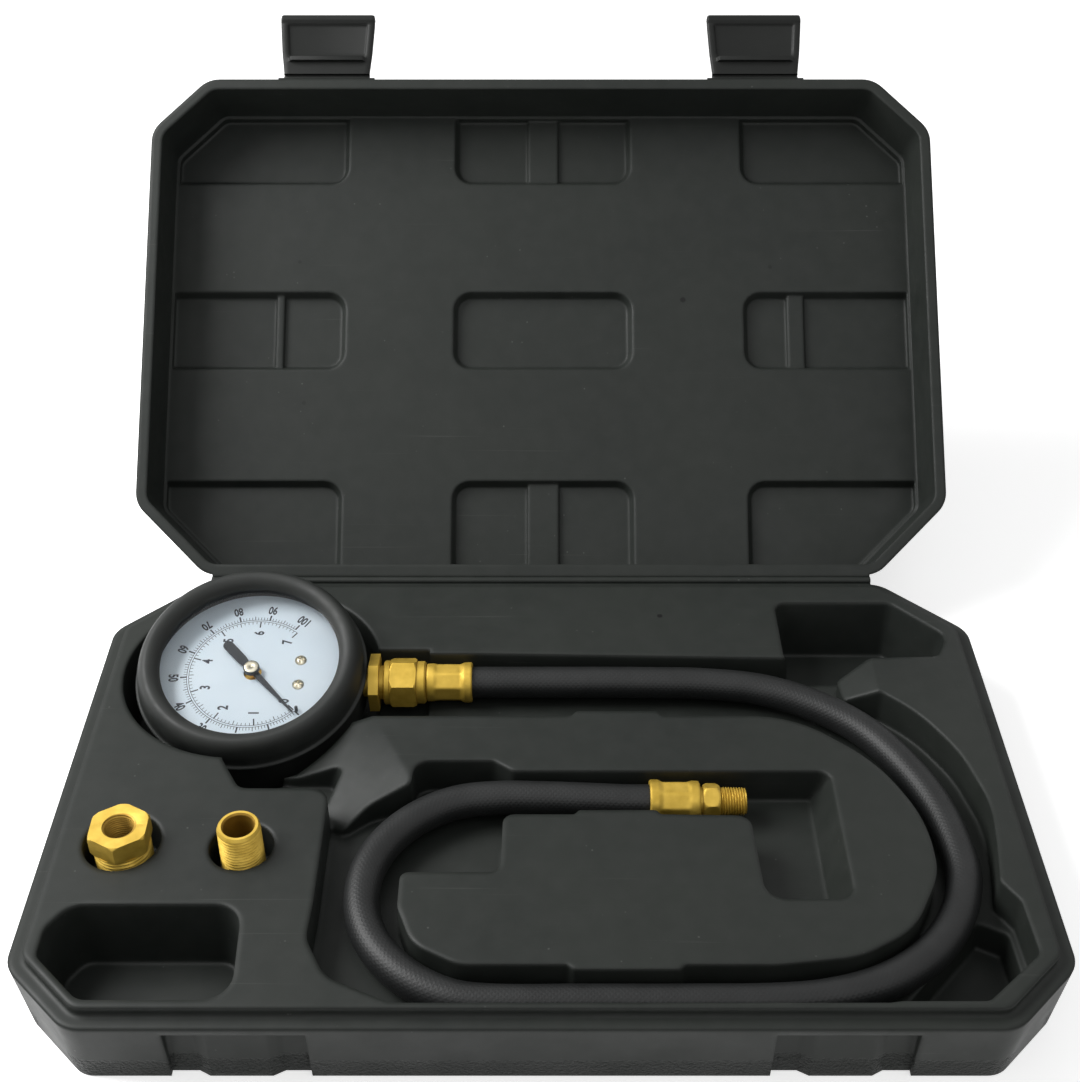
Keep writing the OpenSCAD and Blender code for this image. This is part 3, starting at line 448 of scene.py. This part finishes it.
def latch_sheet(side):
    """Closed cross-sections along the latch, placed on the open lid."""
    v = np.concatenate([np.linspace(-bead_radius, bead_radius, 21),
                        [1.94, 1.96, 3, 5, 7.55, 7.65, 9.55, 9.65, 10.2, 10.8, 11.4],
                        np.linspace(13, 24, 7), np.linspace(24.6, roll_start, 14),
                        roll_start + roll_length * np.sin(np.linspace(0.15, 1.57, 9))])
    inner, outer, half = (value[:, None] for value in latch_faces(v))
    sink = np.interp(v, [7.55, 7.65, 9.55, 9.65, 9.9, 11.2, 24.8, 25.8],
                     [0, -1.8, -1.8, 0, 0, 1.2, 1.2, 0])[:, None]
    inset = np.array([0.8, 0.25, 0, 0, 0.25, 0.8, 2.3, 2.9, 3.5, 4.2])[None, :]
    mix = np.array([0, 0.12, 0.3, 0.7, 0.88, 1, 1, 1, 1, 1])[None, :]
    drop = np.array([0, 0, 0, 0, 0, 0, 0, 0.2, 0.85, 1])[None, :]
    w = outer + mix * (inner - outer) - drop * sink
    u = half - inset
    u, w = np.hstack([u, -u[:, ::-1]]), np.hstack([w, w[:, ::-1]])
    turn = np.radians(-lid_angle)
    y, z = -bead_reach - v[:, None] + 0 * w, bead_up - w
    return mm * np.stack([u + side * latch_spread, hinge_y + y * np.cos(turn) - z * np.sin(turn),
                          rim_z + y * np.sin(turn) + z * np.cos(turn)], axis=-1)


latches = [sheet_piece(node + "_dished", latch_sheet(side), caps=True, sharp=35)
           for node, side in (("latch_left", -1), ("latch_right", 1))]
for piece, node in zip(latches, ("latch_left", "latch_right")):
    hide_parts(node)
    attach(piece, node)
print("latches", len(latches[0].data.polygons), "faces each")

# %% [markdown]
# ## The gauge
# The dial, its lens and its can lie in a thick rubber boot. The boot is one closed profile turned about
# the dial's axis. The gauge lies tipped a little towards the front, so each sheet is drawn about the axis
# and then tipped about the stem.

# %% Gauge placing
gauge_tilt = np.radians(14)


def on_gauge(points):
    """Turns points about the X axis by the gauge's tilt and moves them to the middle of the dial."""
    x, y, z = np.moveaxis(np.asarray(points, float), -1, 0)
    c, s = np.cos(gauge_tilt), np.sin(gauge_tilt)
    return np.stack([x, c * y - s * z, s * y + c * z], axis=-1) + gauge_place


def lathe(radii, heights, columns):
    """Sheet of a profile turned about Z: each profile point runs round at its own radius and height."""
    a = np.linspace(0, 2 * np.pi, columns, endpoint=False)[None, :]
    r = np.asarray(radii)[:, None]
    z = np.asarray(heights)[:, None] + 0 * a
    return np.stack([r * np.cos(a), r * np.sin(a), z], axis=-1)


# %% Boot
def turn_arc(middle, radii, first, last, steps):
    """Points of an elliptic arc in the profile plane: middle + (radius * cos a, height * sin a)."""
    a = np.radians(np.linspace(first, last, steps))
    return np.stack([middle[0] + radii[0] * np.cos(a), middle[1] + radii[1] * np.sin(a)], axis=-1)


boot_profile = np.concatenate([
    [[34.0, -8.55], [34.0, -10.5], [40.2, -10.5]],
    turn_arc((40.5, -8.7), (1.8, 1.8), -80, 0, 6),
    [[42.3, 0.0], [42.3, 5.6], [42.45, 6.5], [42.9, 6.9]],
    turn_arc((43.0, 7.6), (0.65, 0.7), -70, 80, 7),
    [[42.7, 8.5], [42.4, 8.9]],
    turn_arc((37.9, 10.2), (4.4, 9.0), 0, 88, 22),
    turn_arc((37.9, 14.7), (4.4, 4.5), 90, 180, 14),
    [[33.5, 14.45], [40.05, 14.45], [40.05, -8.55]]])
boot_r, boot_z = boot_profile.T
boot_sheet = lathe(mm * boot_r, mm * boot_z, 160)
boot = sheet_piece("gauge_boot_rubber", on_gauge(boot_sheet), loop=True, sharp=50)
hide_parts("gauge_boot")
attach(boot, "tester")

# %% [markdown]
# ## The printed dial
# The outer scale runs clockwise from 0 to 100 over 261 degrees, the inner one from 0 to 7.
# A mark is a thin quad between two radii, so all marks of one kind come from one array of angles.
# The numbers are text, made into a mesh and then laid on the dial with numpy.

# %% Dial marks
dial_top = 6.63 * mm
scale_start = -44.7
degrees_a_unit = 2.608


def dial_angle(value):
    """Angle of an outer scale value: 0 lies at -44.7 degrees and 100 is 260.8 degrees further clockwise."""
    return np.radians(scale_start - degrees_a_unit * np.asarray(value, float))


def mark_quads(values, inner, outer, width):
    """Corners of one quad a value, from the inner to the outer radius, width across."""
    a = dial_angle(values)[:, None]
    along_r = np.array([inner, outer, outer, inner])[None, :]
    across = 0.5 * width * np.array([-1, -1, 1, 1])[None, :]
    x = along_r * np.cos(a) - across * np.sin(a)
    y = along_r * np.sin(a) + across * np.cos(a)
    return np.stack([x, y, dial_top + 0 * x], axis=-1).reshape(-1, 3)


def arc_quads(first, last, radius, width, steps=120):
    """Quads of a thin arc between two scale values."""
    a = dial_angle(np.linspace(first, last, steps + 1))
    inner = np.stack([np.cos(a), np.sin(a)], -1) * (radius - width / 2)
    outer = np.stack([np.cos(a), np.sin(a)], -1) * (radius + width / 2)
    flat = np.stack([inner[:-1], outer[:-1], outer[1:], inner[1:]], axis=1).reshape(-1, 2)
    return np.column_stack([flat, np.full(len(flat), dial_top)])


bar = 14.5038
outer_line, inner_line = 24.76 * mm, 24.0 * mm
marks = np.concatenate([
    mark_quads(np.arange(0, 101), outer_line, outer_line + 1.25 * mm, 0.2 * mm),
    mark_quads(np.arange(0, 101, 5), outer_line, outer_line + 1.7 * mm, 0.26 * mm),
    mark_quads(np.arange(0, 101, 10), outer_line, outer_line + 2.5 * mm, 0.6 * mm),
    mark_quads(bar * np.arange(0, 7.01, 0.1), inner_line, inner_line - 1.2 * mm, 0.2 * mm),
    mark_quads(bar * np.arange(0, 7.01, 0.5), inner_line, inner_line - 1.8 * mm, 0.26 * mm),
    mark_quads(bar * np.arange(0, 7.01, 1), inner_line, inner_line - 2.9 * mm, 0.5 * mm),
    arc_quads(0, 100, outer_line, 0.2 * mm),
    arc_quads(0, 101.5, inner_line, 0.2 * mm)])
marks_mesh = bpy.data.meshes.new("dial_marks")
marks_mesh.from_pydata(on_gauge(marks).tolist(), [], np.arange(len(marks)).reshape(-1, 4).tolist())
dial_marks = bpy.data.objects.new("dial_marks", marks_mesh)
scene.collection.objects.link(dial_marks)


# %% Dial numbers
def digits_mesh(word):
    """Flat mesh of a number, centred, one unit high: its points and its faces."""
    text = bpy.data.curves.new("digits", "FONT")
    text.body = word
    text.align_x = "CENTER"
    text.align_y = "CENTER"
    text.resolution_u = 3
    text.offset = 0.03
    holder = bpy.data.objects.new("digits", text)
    scene.collection.objects.link(holder)
    view = bpy.context.evaluated_depsgraph_get()
    flat = bpy.data.meshes.new_from_object(holder.evaluated_get(view))
    points = np.zeros(3 * len(flat.vertices))
    flat.vertices.foreach_get("co", points)
    points = points.reshape(-1, 3)
    faces = [tuple(polygon.vertices) for polygon in flat.polygons]
    bpy.data.objects.remove(holder)
    bpy.data.curves.remove(text)
    bpy.data.meshes.remove(flat)
    middle = (points.min(0) + points.max(0)) / 2
    return (points - middle) / np.ptp(points[:, 1]), faces


def lay_numbers(words, angles, radius, height, narrow, heading):
    """Points and faces of numbers at their angles on the dial, each turned to its heading."""
    all_points, all_faces, start = [], [], 0
    for word, a, turn in zip(words, angles, heading):
        points, faces = digits_mesh(word)
        x, y = points[:, 0] * height * narrow, points[:, 1] * height
        flat = np.stack([radius * np.cos(a) + x * np.cos(turn) - y * np.sin(turn),
                         radius * np.sin(a) + x * np.sin(turn) + y * np.cos(turn),
                         np.full(len(x), dial_top)], axis=-1)
        all_points.append(flat)
        all_faces += [tuple(start + k for k in face) for face in faces]
        start += len(flat)
    return np.concatenate(all_points), all_faces


tens = np.arange(0, 101, 10)
ones = np.arange(0, 8)
outer_points, outer_faces = lay_numbers([str(v) for v in tens], dial_angle(tens), 29.75 * mm, 3.9 * mm,
                                        0.68, dial_angle(tens) + np.pi / 2)
inner_points, inner_faces = lay_numbers([str(v) for v in ones], dial_angle(bar * ones), 18.5 * mm, 4.0 * mm,
                                        0.74, np.full(len(ones), np.pi / 2))
numbers_mesh = bpy.data.meshes.new("dial_numbers")
shift = len(outer_points)
numbers_mesh.from_pydata(on_gauge(np.concatenate([outer_points, inner_points])).tolist(), [],
                         outer_faces + [tuple(shift + k for k in face) for face in inner_faces])
dial_numbers = bpy.data.objects.new("dial_numbers", numbers_mesh)
scene.collection.objects.link(dial_numbers)
for piece in (dial_marks, dial_numbers):
    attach(piece, "tester")
print("marks", len(marks) // 4, "numbers", len(tens) + len(ones))

# %% Pointer, hub cap and stop pin
tail_round = 2.0
tail_start = -15.2
tip_x = 25.5


def pointer_half_width(x):
    """Half the pointer's width along it: round tail, wide tail, narrow waist, then a straight taper."""
    tail = tail_round * np.sqrt(np.clip(1 - np.clip((tail_start - x) / tail_round, 0, 1) ** 2, 0, 1))
    blade = np.interp(x, [tail_start, -6, -3.2, 0, tip_x], [tail_round, 1.9, 1.25, 1.4, 0.28])
    return np.where(x < tail_start, tail, blade)


pointer_x = np.concatenate([tail_start - tail_round * np.cos(np.linspace(0.05, np.pi / 2, 16)),
                            np.linspace(tail_start + 0.5, tip_x, 60)])
half = pointer_half_width(pointer_x)
rim = np.clip(half - 0.12, 0.02, None)
across = np.stack([-half, -half, -rim, rim, half, half], axis=1)
height = np.array([0, 0.36, 0.5, 0.5, 0.36, 0])[None, :] + 0 * across
rest = np.radians(-48)
along_x = pointer_x[:, None] + 0 * across
pointer_sheet = mm * np.stack([along_x * np.cos(rest) - across * np.sin(rest),
                               along_x * np.sin(rest) + across * np.cos(rest), 8.2 + height], axis=-1)
pointer_blade = sheet_piece("pointer_blade", on_gauge(pointer_sheet), caps=True, sharp=30)
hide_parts("pointer")
cap_radii = mm * np.array([2.9, 3.0, 3.0, 2.9, 2.72, 2.7, 2.6, 2.4, 1.6, 0.75, 0.6, 0.45, 0.05])
cap_heights = mm * np.array([8.7, 8.8, 10.2, 10.4, 10.42, 10.6, 10.72, 10.78, 10.8, 10.8, 10.72, 10.55, 10.5])
cap_columns = 64
cap_sheet = lathe(cap_radii, cap_heights, cap_columns)
hub_cap = sheet_piece("pointer_hub_cap", on_gauge(cap_sheet), caps=True, sharp=40)
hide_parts("pointer_cap")
for piece in (pointer_blade, hub_cap):
    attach(piece, "pointer")
pin_angle, pin_reach = np.radians(-43.2), 25.2
pin_place = pin_reach * np.array([np.cos(pin_angle), np.sin(pin_angle), 0])
pin_sheet = lathe([0.6, 0.6, 0.55, 0.35, 0.02], [6.55, 8.9, 9.15, 9.3, 9.35], 20) + pin_place
stop_pin = sheet_piece("stop_pin", on_gauge(mm * pin_sheet), caps=True)
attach(stop_pin, "tester")
print("pointer at rest beside its pin")


# %% Dial screws
screw_r = 2.2 * mm
screw_x, screw_y = 17.8, 5.6


def screw_head(place):
    """Low domed head: height falls with the square of the radius, and two crossed slots are pressed in."""
    r = np.linspace(screw_r, 0.05 * mm, 26)[:, None]
    a = np.linspace(0, 2 * np.pi, 72, endpoint=False)[None, :]
    x, y = r * np.cos(a), r * np.sin(a)
    dome = 1.15 * mm * (1 - 0.8 * (r / screw_r) ** 2)
    slot = np.minimum(np.abs(x), np.abs(y)) + 0.35 * np.maximum(np.abs(x), np.abs(y))
    z = dome - 0.5 * mm * ramp(slot, 0.75 * mm, 0.45 * mm)
    foot = np.stack([screw_r * np.cos(a), screw_r * np.sin(a), 0 * a], -1)
    sheet = np.concatenate([foot, np.stack([x, y, z], -1)])
    return sheet + np.array([place[0], place[1], 6.6 * mm])


screws = [sheet_piece(f"dial_screw_{k + 1}", on_gauge(screw_head(mm * np.array([screw_x, y]))),
                      caps=True, sharp=60)
          for k, y in enumerate((-screw_y, screw_y))]
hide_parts("dial_screws")
for screw in screws:
    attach(screw, "tester")

# %% [markdown]
# ## Finishes
# Each finish is a small node tree on Object coordinates, in metres, so that a pattern keeps its real size.
# A helper makes the tree with its main shader, and short functions add noise, ramps and bumps.
# Colours are written as they look on screen and changed to linear light once.


# %% Node helpers
def colour(red, green, blue):
    """Linear colour of a screen colour given from 0 to 255."""
    c = np.array([red, green, blue]) / 255
    linear = np.where(c <= 0.04045, c / 12.92, ((c + 0.055) / 1.055) ** 2.4)
    return (*linear.tolist(), 1.0)


class Finish:
    """A material with one main shader, built from left to right."""

    def __init__(self, name, **sockets):
        self.material = bpy.data.materials.new(name)
        self.material.use_nodes = True
        self.tree = self.material.node_tree
        self.shader = self.tree.nodes["Principled BSDF"]
        self.place = self.add("ShaderNodeTexCoord").outputs["Object"]
        for socket, value in sockets.items():
            self.shader.inputs[socket.replace("_", " ")].default_value = value

    def add(self, kind, **settings):
        made = self.tree.nodes.new(kind)
        for key, value in settings.items():
            setattr(made, key, value)
        return made

    def join(self, source, target):
        self.tree.links.new(source, target)

    def stretched(self, scale, turn=(0, 0, 0), source=None):
        """Coordinates scaled along each axis, after a turn."""
        mapping = self.add("ShaderNodeMapping")
        mapping.inputs["Scale"].default_value = scale
        mapping.inputs["Rotation"].default_value = turn
        self.join(source or self.place, mapping.inputs["Vector"])
        return mapping.outputs["Vector"]

    def noise(self, scale, detail=3.0, source=None, roughness=0.55):
        made = self.add("ShaderNodeTexNoise")
        made.inputs["Scale"].default_value = scale
        made.inputs["Detail"].default_value = detail
        made.inputs["Roughness"].default_value = roughness
        self.join(source or self.place, made.inputs["Vector"])
        return made.outputs["Fac"]

    def ranged(self, value, low, high, to_low, to_high):
        """Maps low..high to to_low..to_high and clamps."""
        made = self.add("ShaderNodeMapRange")
        for socket, number in zip(("From Min", "From Max", "To Min", "To Max"), (low, high, to_low, to_high)):
            made.inputs[socket].default_value = number
        self.join(value, made.inputs["Value"])
        return made.outputs["Result"]

    def math(self, operation, a, b):
        made = self.add("ShaderNodeMath", operation=operation)
        for socket, value in zip(made.inputs, (a, b)):
            if isinstance(value, (int, float)):
                socket.default_value = value
            else:
                self.join(value, socket)
        return made.outputs["Value"]

    def mixed(self, amount, first, second):
        """Colour between first and second. Each is a colour or the output of another node."""
        made = self.add("ShaderNodeMix", data_type="RGBA")
        self.join(amount, made.inputs["Factor"])
        for socket, value in zip((made.inputs[6], made.inputs[7]), (first, second)):
            if isinstance(value, tuple):
                socket.default_value = value
            else:
                self.join(value, socket)
        return made.outputs[2]

    def bumped(self, height, strength, distance, before=None):
        made = self.add("ShaderNodeBump")
        made.inputs["Strength"].default_value = strength
        made.inputs["Distance"].default_value = distance
        self.join(height, made.inputs["Height"])
        if before is not None:
            self.join(before, made.inputs["Normal"])
        return made.outputs["Normal"]

    def drive(self, socket, source):
        self.join(source, self.shader.inputs[socket])


def dress_rows(piece, material, first, last, columns):
    """Gives the faces of rows first to last - 1 of a sheet a second material."""
    piece.data.materials.append(material)
    row = np.arange(len(piece.data.polygons)) // columns
    piece.data.polygons.foreach_set("material_index", ((row >= first) & (row < last)).astype(np.int32))


def dress(material, *objects):
    """Puts one material on every slot of the given objects."""
    for piece in objects:
        piece.data.materials.clear()
        piece.data.materials.append(material)


# %% Case plastic
def case_plastic(name, stippled_foot, edge_round, pips, shade=1.0):
    """Black blow-moulded plastic: soft cloudy tone, pale dust specks, faint scratches and a fine grain.

    pips are vent marks: a place in millimetres, a radius and how dark the mark is.
    shade below 1 darkens the whole tone as painted shade, for a latch of the same plastic.
    """
    finish = Finish(name, Roughness=0.5, Specular_IOR_Level=0.2)
    cloud = finish.ranged(finish.noise(11, 4), 0.3, 0.7, 0, 1)
    deep, pale, fleck = (colour(*(shade * np.array(c))) for c in ((28, 31, 29), (34, 37, 34), (42, 44, 42)))
    tone = finish.mixed(cloud, deep, pale)
    mottle = finish.ranged(finish.noise(140, 5), 0.35, 0.7, 0, 0.35)
    tone = finish.mixed(mottle, tone, fleck)
    scratch = finish.noise(1, 2, finish.stretched((12, 900, 900), (0, 0, 0.5)))
    scratch = finish.ranged(scratch, 0.7, 0.76, 0, 0.07)
    tone = finish.mixed(scratch, tone, colour(118, 120, 116))
    specks = finish.add("ShaderNodeTexVoronoi")
    specks.inputs["Scale"].default_value = 210
    finish.join(finish.place, specks.inputs["Vector"])
    dust = finish.ranged(specks.outputs["Distance"], 0.05, 0.09, 1, 0)
    dust = finish.math("MULTIPLY", dust, finish.ranged(finish.noise(60, 2), 0.56, 0.66, 0, 0.16))
    tone = finish.mixed(dust, tone, colour(140, 142, 138))
    for spot, radius, depth in pips:
        reach = finish.add("ShaderNodeVectorMath", operation="DISTANCE")
        reach.inputs[1].default_value = [mm * value for value in spot]
        finish.join(finish.place, reach.inputs[0])
        mark = finish.ranged(reach.outputs["Value"], 0.7 * radius * mm, radius * mm, depth, 0)
        tone = finish.mixed(mark, tone, colour(6, 6, 6))
    finish.drive("Base Color", tone)
    finish.drive("Roughness", finish.ranged(finish.noise(45, 4), 0.3, 0.7, 0.42, 0.58))
    rounded = finish.add("ShaderNodeBevel", samples=8)
    rounded.inputs["Radius"].default_value = edge_round
    grain = finish.bumped(finish.noise(2400, 2), 0.12, 0.0002, rounded.outputs["Normal"])
    waves = finish.bumped(finish.noise(70, 2), 0.12, 0.0006, grain)
    if stippled_foot:
        split = finish.add("ShaderNodeSeparateXYZ")
        finish.join(finish.place, split.inputs["Vector"])
        foot = finish.ranged(split.outputs["Z"], 0.0075, 0.0095, 1, 0)
        front = finish.ranged(split.outputs["Y"], -0.1035, -0.1025, 1, 0)
        sides = finish.ranged(finish.math("ABSOLUTE", split.outputs["X"], 0.0), 0.1600, 0.1610, 0, 1)
        outside = finish.math("MAXIMUM", front, sides)
        spark = finish.math("SUBTRACT", finish.noise(950, 3), 0.5)
        stipple = finish.math("MULTIPLY", spark, finish.math("MULTIPLY", foot, outside))
        waves = finish.bumped(stipple, 0.9, 0.0025, waves)
    finish.drive("Normal", waves)
    return finish.material


tray_pips = [((47.0, 84.2, 30.5), 1.3, 0.9)]
lid_pips = [((62.4, 222.1, 97.3), 1.4, 0.9), ((-106.4, 234.8, 109.3), 1.0, 0.5),
            ((-103.0, 188.1, 65.2), 1.0, 0.5), ((101.1, 233.1, 107.7), 1.0, 0.5)]
dress(case_plastic("case_plastic_tray", True, 0.0028, tray_pips), tray)
dress(case_plastic("case_plastic_lid", False, 0.002, lid_pips), lid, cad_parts["hinge_bead"])
# The latches are the same plastic, with their tone painted darker as shade.
dress(case_plastic("case_plastic_latch_shaded", False, 0.0004, [], 0.55), *latches)

# %% Rubber
boot_finish = Finish("boot_rubber", Roughness=0.5, Specular_IOR_Level=0.26)
boot_tone = boot_finish.mixed(boot_finish.ranged(boot_finish.noise(60, 5), 0.3, 0.7, 0, 1),
                              colour(27, 29, 28), colour(37, 39, 37))
boot_finish.drive("Base Color", boot_tone)
boot_finish.drive("Roughness", boot_finish.ranged(boot_finish.noise(120, 3), 0.3, 0.7, 0.46, 0.62))
boot_finish.drive("Normal", boot_finish.bumped(boot_finish.noise(1800, 3), 0.15, 0.0002))
dress(boot_finish.material, boot)

hose_finish = Finish("hose_rubber", Roughness=0.5, Specular_IOR_Level=0.3)
wrap = hose_finish.add("ShaderNodeSeparateXYZ")
hose_finish.join(hose_finish.add("ShaderNodeUVMap", uv_map="UVMap").outputs["UV"], wrap.inputs["Vector"])
lengthwise = hose_finish.math("MULTIPLY", wrap.outputs["X"], 2 * np.pi / 0.0019)
threads = [hose_finish.math("SINE", hose_finish.math(
    "ADD", lengthwise, hose_finish.math("MULTIPLY", wrap.outputs["Y"], slant * 2 * np.pi * 20)), 0.0)
    for slant in (1, -1)]
weave = hose_finish.math("MAXIMUM", *threads)
hose_tone = hose_finish.mixed(hose_finish.ranged(hose_finish.noise(90, 5), 0.3, 0.7, 0, 1),
                              colour(19, 20, 20), colour(28, 29, 29))
# The low parts of the weave are painted darker: painted shade in the wrap's grooves.
hose_tone = hose_finish.mixed(hose_finish.ranged(weave, 0.0, 1.0, 0.1, 0), hose_tone, colour(8, 8, 8))
hose_finish.drive("Base Color", hose_tone)
hose_finish.drive("Normal", hose_finish.bumped(weave, 0.1, 0.0003, hose_finish.bumped(
    hose_finish.noise(1500, 3), 0.2, 0.0002)))
dress(hose_finish.material, hose)


# %% Brass and other metals
def metal(name, dark, light, rough, grain_scale, solid=1.0):
    """Machined metal: a slightly uneven tone, fine tool lines and a roughness that varies a little.

    Below 1, solid lets a dull skin scatter some light, as brass does that has been handled.
    """
    finish = Finish(name, Metallic=solid, Roughness=rough)
    tone = finish.mixed(finish.ranged(finish.noise(180, 4), 0.3, 0.7, 0, 1), dark, light)
    finish.drive("Base Color", tone)
    finish.drive("Roughness", finish.ranged(finish.noise(320, 3), 0.3, 0.7, rough - 0.06, rough + 0.1))
    finish.drive("Normal", finish.bumped(finish.noise(1, 2, finish.stretched(grain_scale)), 0.1, 0.0001))
    return finish.material


brass = metal("fitting_brass", colour(172, 142, 50), colour(198, 166, 70), 0.5, (5000, 700, 700), 0.62)
brass_upright = metal("fitting_brass_upright", colour(178, 147, 54), colour(204, 172, 75), 0.5,
                      (700, 700, 5000), 0.62)
steel = metal("movement_steel", colour(150, 152, 156), colour(176, 178, 182), 0.32, (900, 900, 3000))
silvered = metal("hub_silver", colour(196, 188, 164), colour(222, 216, 196), 0.32, (2500, 2500, 2500))
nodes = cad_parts
dress(brass, gauge_ferrule, end_ferrule, end_fitting, coupling, nodes["stem_socket"])
dress(brass_upright, bushing, nipple)
dress(silvered, hub_cap, *screws)
# The bores get a darker brass, as painted shade inside the holes.
bore = metal("fitting_brass_bore_shaded", colour(134, 104, 36), colour(162, 128, 50), 0.5, (700, 700, 5000), 0.7)
dress_rows(bushing, bore, len(bushing_x), 2 * len(bushing_x), 96)
dress_rows(nipple, bore, len(nipple_x), 2 * len(nipple_x), 96)
dress(metal("movement_brass", colour(200, 158, 70), colour(220, 182, 92), 0.35, (1500, 1500, 1500)),
      *(nodes[n] for n in ("pinion_arbor", "sector_gear", "tip_link", "rear_plate", "front_plate",
                           "plate_pillars", "pressure_tube", "tube_tip")))
dress(steel, nodes["movement_screws"], nodes["hairspring"])

# %% Dial, pointer, can and lens
dial_finish = Finish("dial_face", Roughness=0.45, Specular_IOR_Level=0.4)
dial_cloud = dial_finish.ranged(dial_finish.noise(35, 3), 0.3, 0.7, 0, 1)
dial_finish.drive("Base Color", dial_finish.mixed(dial_cloud, colour(220, 234, 244), colour(230, 242, 250)))
dial_finish.drive("Normal", dial_finish.bumped(dial_finish.noise(3000, 2), 0.04, 0.0001))
dress(dial_finish.material, nodes["dial_plate"])


def dark_paint(name, dark, light, rough):
    """Satin black paint with a faint orange-peel surface."""
    finish = Finish(name, Roughness=rough)
    finish.drive("Base Color", finish.mixed(finish.ranged(finish.noise(400, 3), 0.3, 0.7, 0, 1), dark, light))
    finish.drive("Normal", finish.bumped(finish.noise(2500, 2), 0.06, 0.0001))
    return finish.material


dress(dark_paint("dial_print", colour(36, 44, 54), colour(46, 54, 64), 0.6), dial_marks, dial_numbers)
dress(dark_paint("pointer_black", colour(16, 25, 32), colour(24, 33, 40), 0.45), pointer_blade, stop_pin)
dress_rows(hub_cap, pointer_blade.data.materials[0], 0, 4, cap_columns)
dress(dark_paint("can_paint", colour(18, 19, 19), colour(26, 27, 27), 0.5),
      nodes["gauge_can"], nodes["lens_seat"])

lens_finish = Finish("lens_glass")
lens_finish.tree.nodes.remove(lens_finish.shader)
clear = lens_finish.add("ShaderNodeBsdfTransparent")
gloss = lens_finish.add("ShaderNodeBsdfGlossy")
gloss.inputs["Roughness"].default_value = 0.03
edge_on = lens_finish.add("ShaderNodeFresnel")
edge_on.inputs["IOR"].default_value = 1.42
# Rays go straight through this thin lens, so to the camera only its outside mirrors. From a low angle its
# inside would be a full mirror that hides the dial. The light on the dial still loses a share inside.
inside = lens_finish.add("ShaderNodeNewGeometry").outputs["Backfacing"]
looked_at = lens_finish.add("ShaderNodeLightPath").outputs["Is Camera Ray"]
hidden_face = lens_finish.math("MULTIPLY", inside, looked_at)
mirror = lens_finish.math("MULTIPLY", edge_on.outputs["Fac"], lens_finish.math("SUBTRACT", 1.0, hidden_face))
lens_finish.join(lens_finish.bumped(lens_finish.noise(30, 1), 0.02, 0.0002), gloss.inputs["Normal"])
both = lens_finish.add("ShaderNodeMixShader")
lens_finish.join(mirror, both.inputs["Fac"])
lens_finish.join(clear.outputs["BSDF"], both.inputs[1])
lens_finish.join(gloss.outputs["BSDF"], both.inputs[2])
lens_finish.join(both.outputs["Shader"], lens_finish.tree.nodes["Material Output"].inputs["Surface"])
dress(lens_finish.material, nodes["lens"])
print("finishes:", len(bpy.data.materials))

# %% [markdown]
# ## Floor and light
# The photograph has a white background and soft light from above. A wide floor stays plain, and to the
# camera it adds just enough glow to read as white while it keeps the shadow under the case.
# The world gives an even light, and two large lamps give the soft direction that shows the moulded edges.

# %% Floor, world and lamps
floor_mesh = bpy.data.meshes.new("floor")
floor_half, floor_z = 6, -0.0004
floor_corners = [(-floor_half, -floor_half, floor_z), (floor_half, -floor_half, floor_z),
                 (floor_half, floor_half, floor_z), (-floor_half, floor_half, floor_z)]
floor_mesh.from_pydata(floor_corners, [], [(0, 1, 2, 3)])
floor = bpy.data.objects.new("floor", floor_mesh)
scene.collection.objects.link(floor)
floor_finish = Finish("floor_white", Base_Color=(0.9, 0.9, 0.9, 1), Roughness=0.9, Specular_IOR_Level=0.1)
ray = floor_finish.add("ShaderNodeLightPath")
seen = floor_finish.math("MAXIMUM", ray.outputs["Is Camera Ray"], floor_finish.math(
    "MAXIMUM", ray.outputs["Is Glossy Ray"], ray.outputs["Is Transmission Ray"]))
floor_finish.shader.inputs["Emission Color"].default_value = (1, 1, 1, 1)
floor_finish.drive("Emission Strength", floor_finish.math("MULTIPLY", seen, 0.58))
floor_finish.drive("Normal", floor_finish.bumped(floor_finish.noise(40, 2), 0.02, 0.001))
dress(floor_finish.material, floor)

world = bpy.data.worlds.new("soft_room")
world.use_nodes = True
scene.world = world
sky = world.node_tree
ambient = sky.nodes["Background"]
ambient.inputs["Color"].default_value = (1, 1, 1, 1)
rays = sky.nodes.new("ShaderNodeLightPath")
level = sky.nodes.new("ShaderNodeMapRange")
level.inputs["To Min"].default_value = 0.37
level.inputs["To Max"].default_value = 1.0
shown = rays.outputs["Is Camera Ray"]
for kind in ("Is Glossy Ray", "Is Transmission Ray"):
    either = sky.nodes.new("ShaderNodeMath")
    either.operation = "MAXIMUM"
    sky.links.new(shown, either.inputs[0])
    sky.links.new(rays.outputs[kind], either.inputs[1])
    shown = either.outputs["Value"]
sky.links.new(shown, level.inputs["Value"])
sky.links.new(level.outputs["Result"], ambient.inputs["Strength"])


def lamp(name, place, target, size, power):
    """Square soft lamp at place that faces target."""
    data = bpy.data.lights.new(name, "AREA")
    data.shape = "SQUARE"
    data.size = size
    data.energy = power
    made = bpy.data.objects.new(name, data)
    made.location = place
    direction = np.subtract(target, place)
    flat = np.hypot(direction[0], direction[1])
    made.rotation_euler = (np.arctan2(flat, -direction[2]), 0, np.arctan2(-direction[0], direction[1]))
    scene.collection.objects.link(made)
    return made


lamp("key", (-0.75, 0.15, 0.75), (-0.05, 0.03, 0), 0.6, 16.5)
lamp("fill", (0.3, -0.8, 1.2), (0, 0.05, 0), 0.9, 2.5)
scene.view_settings.view_transform = "Standard"
print("lamps and floor ready")
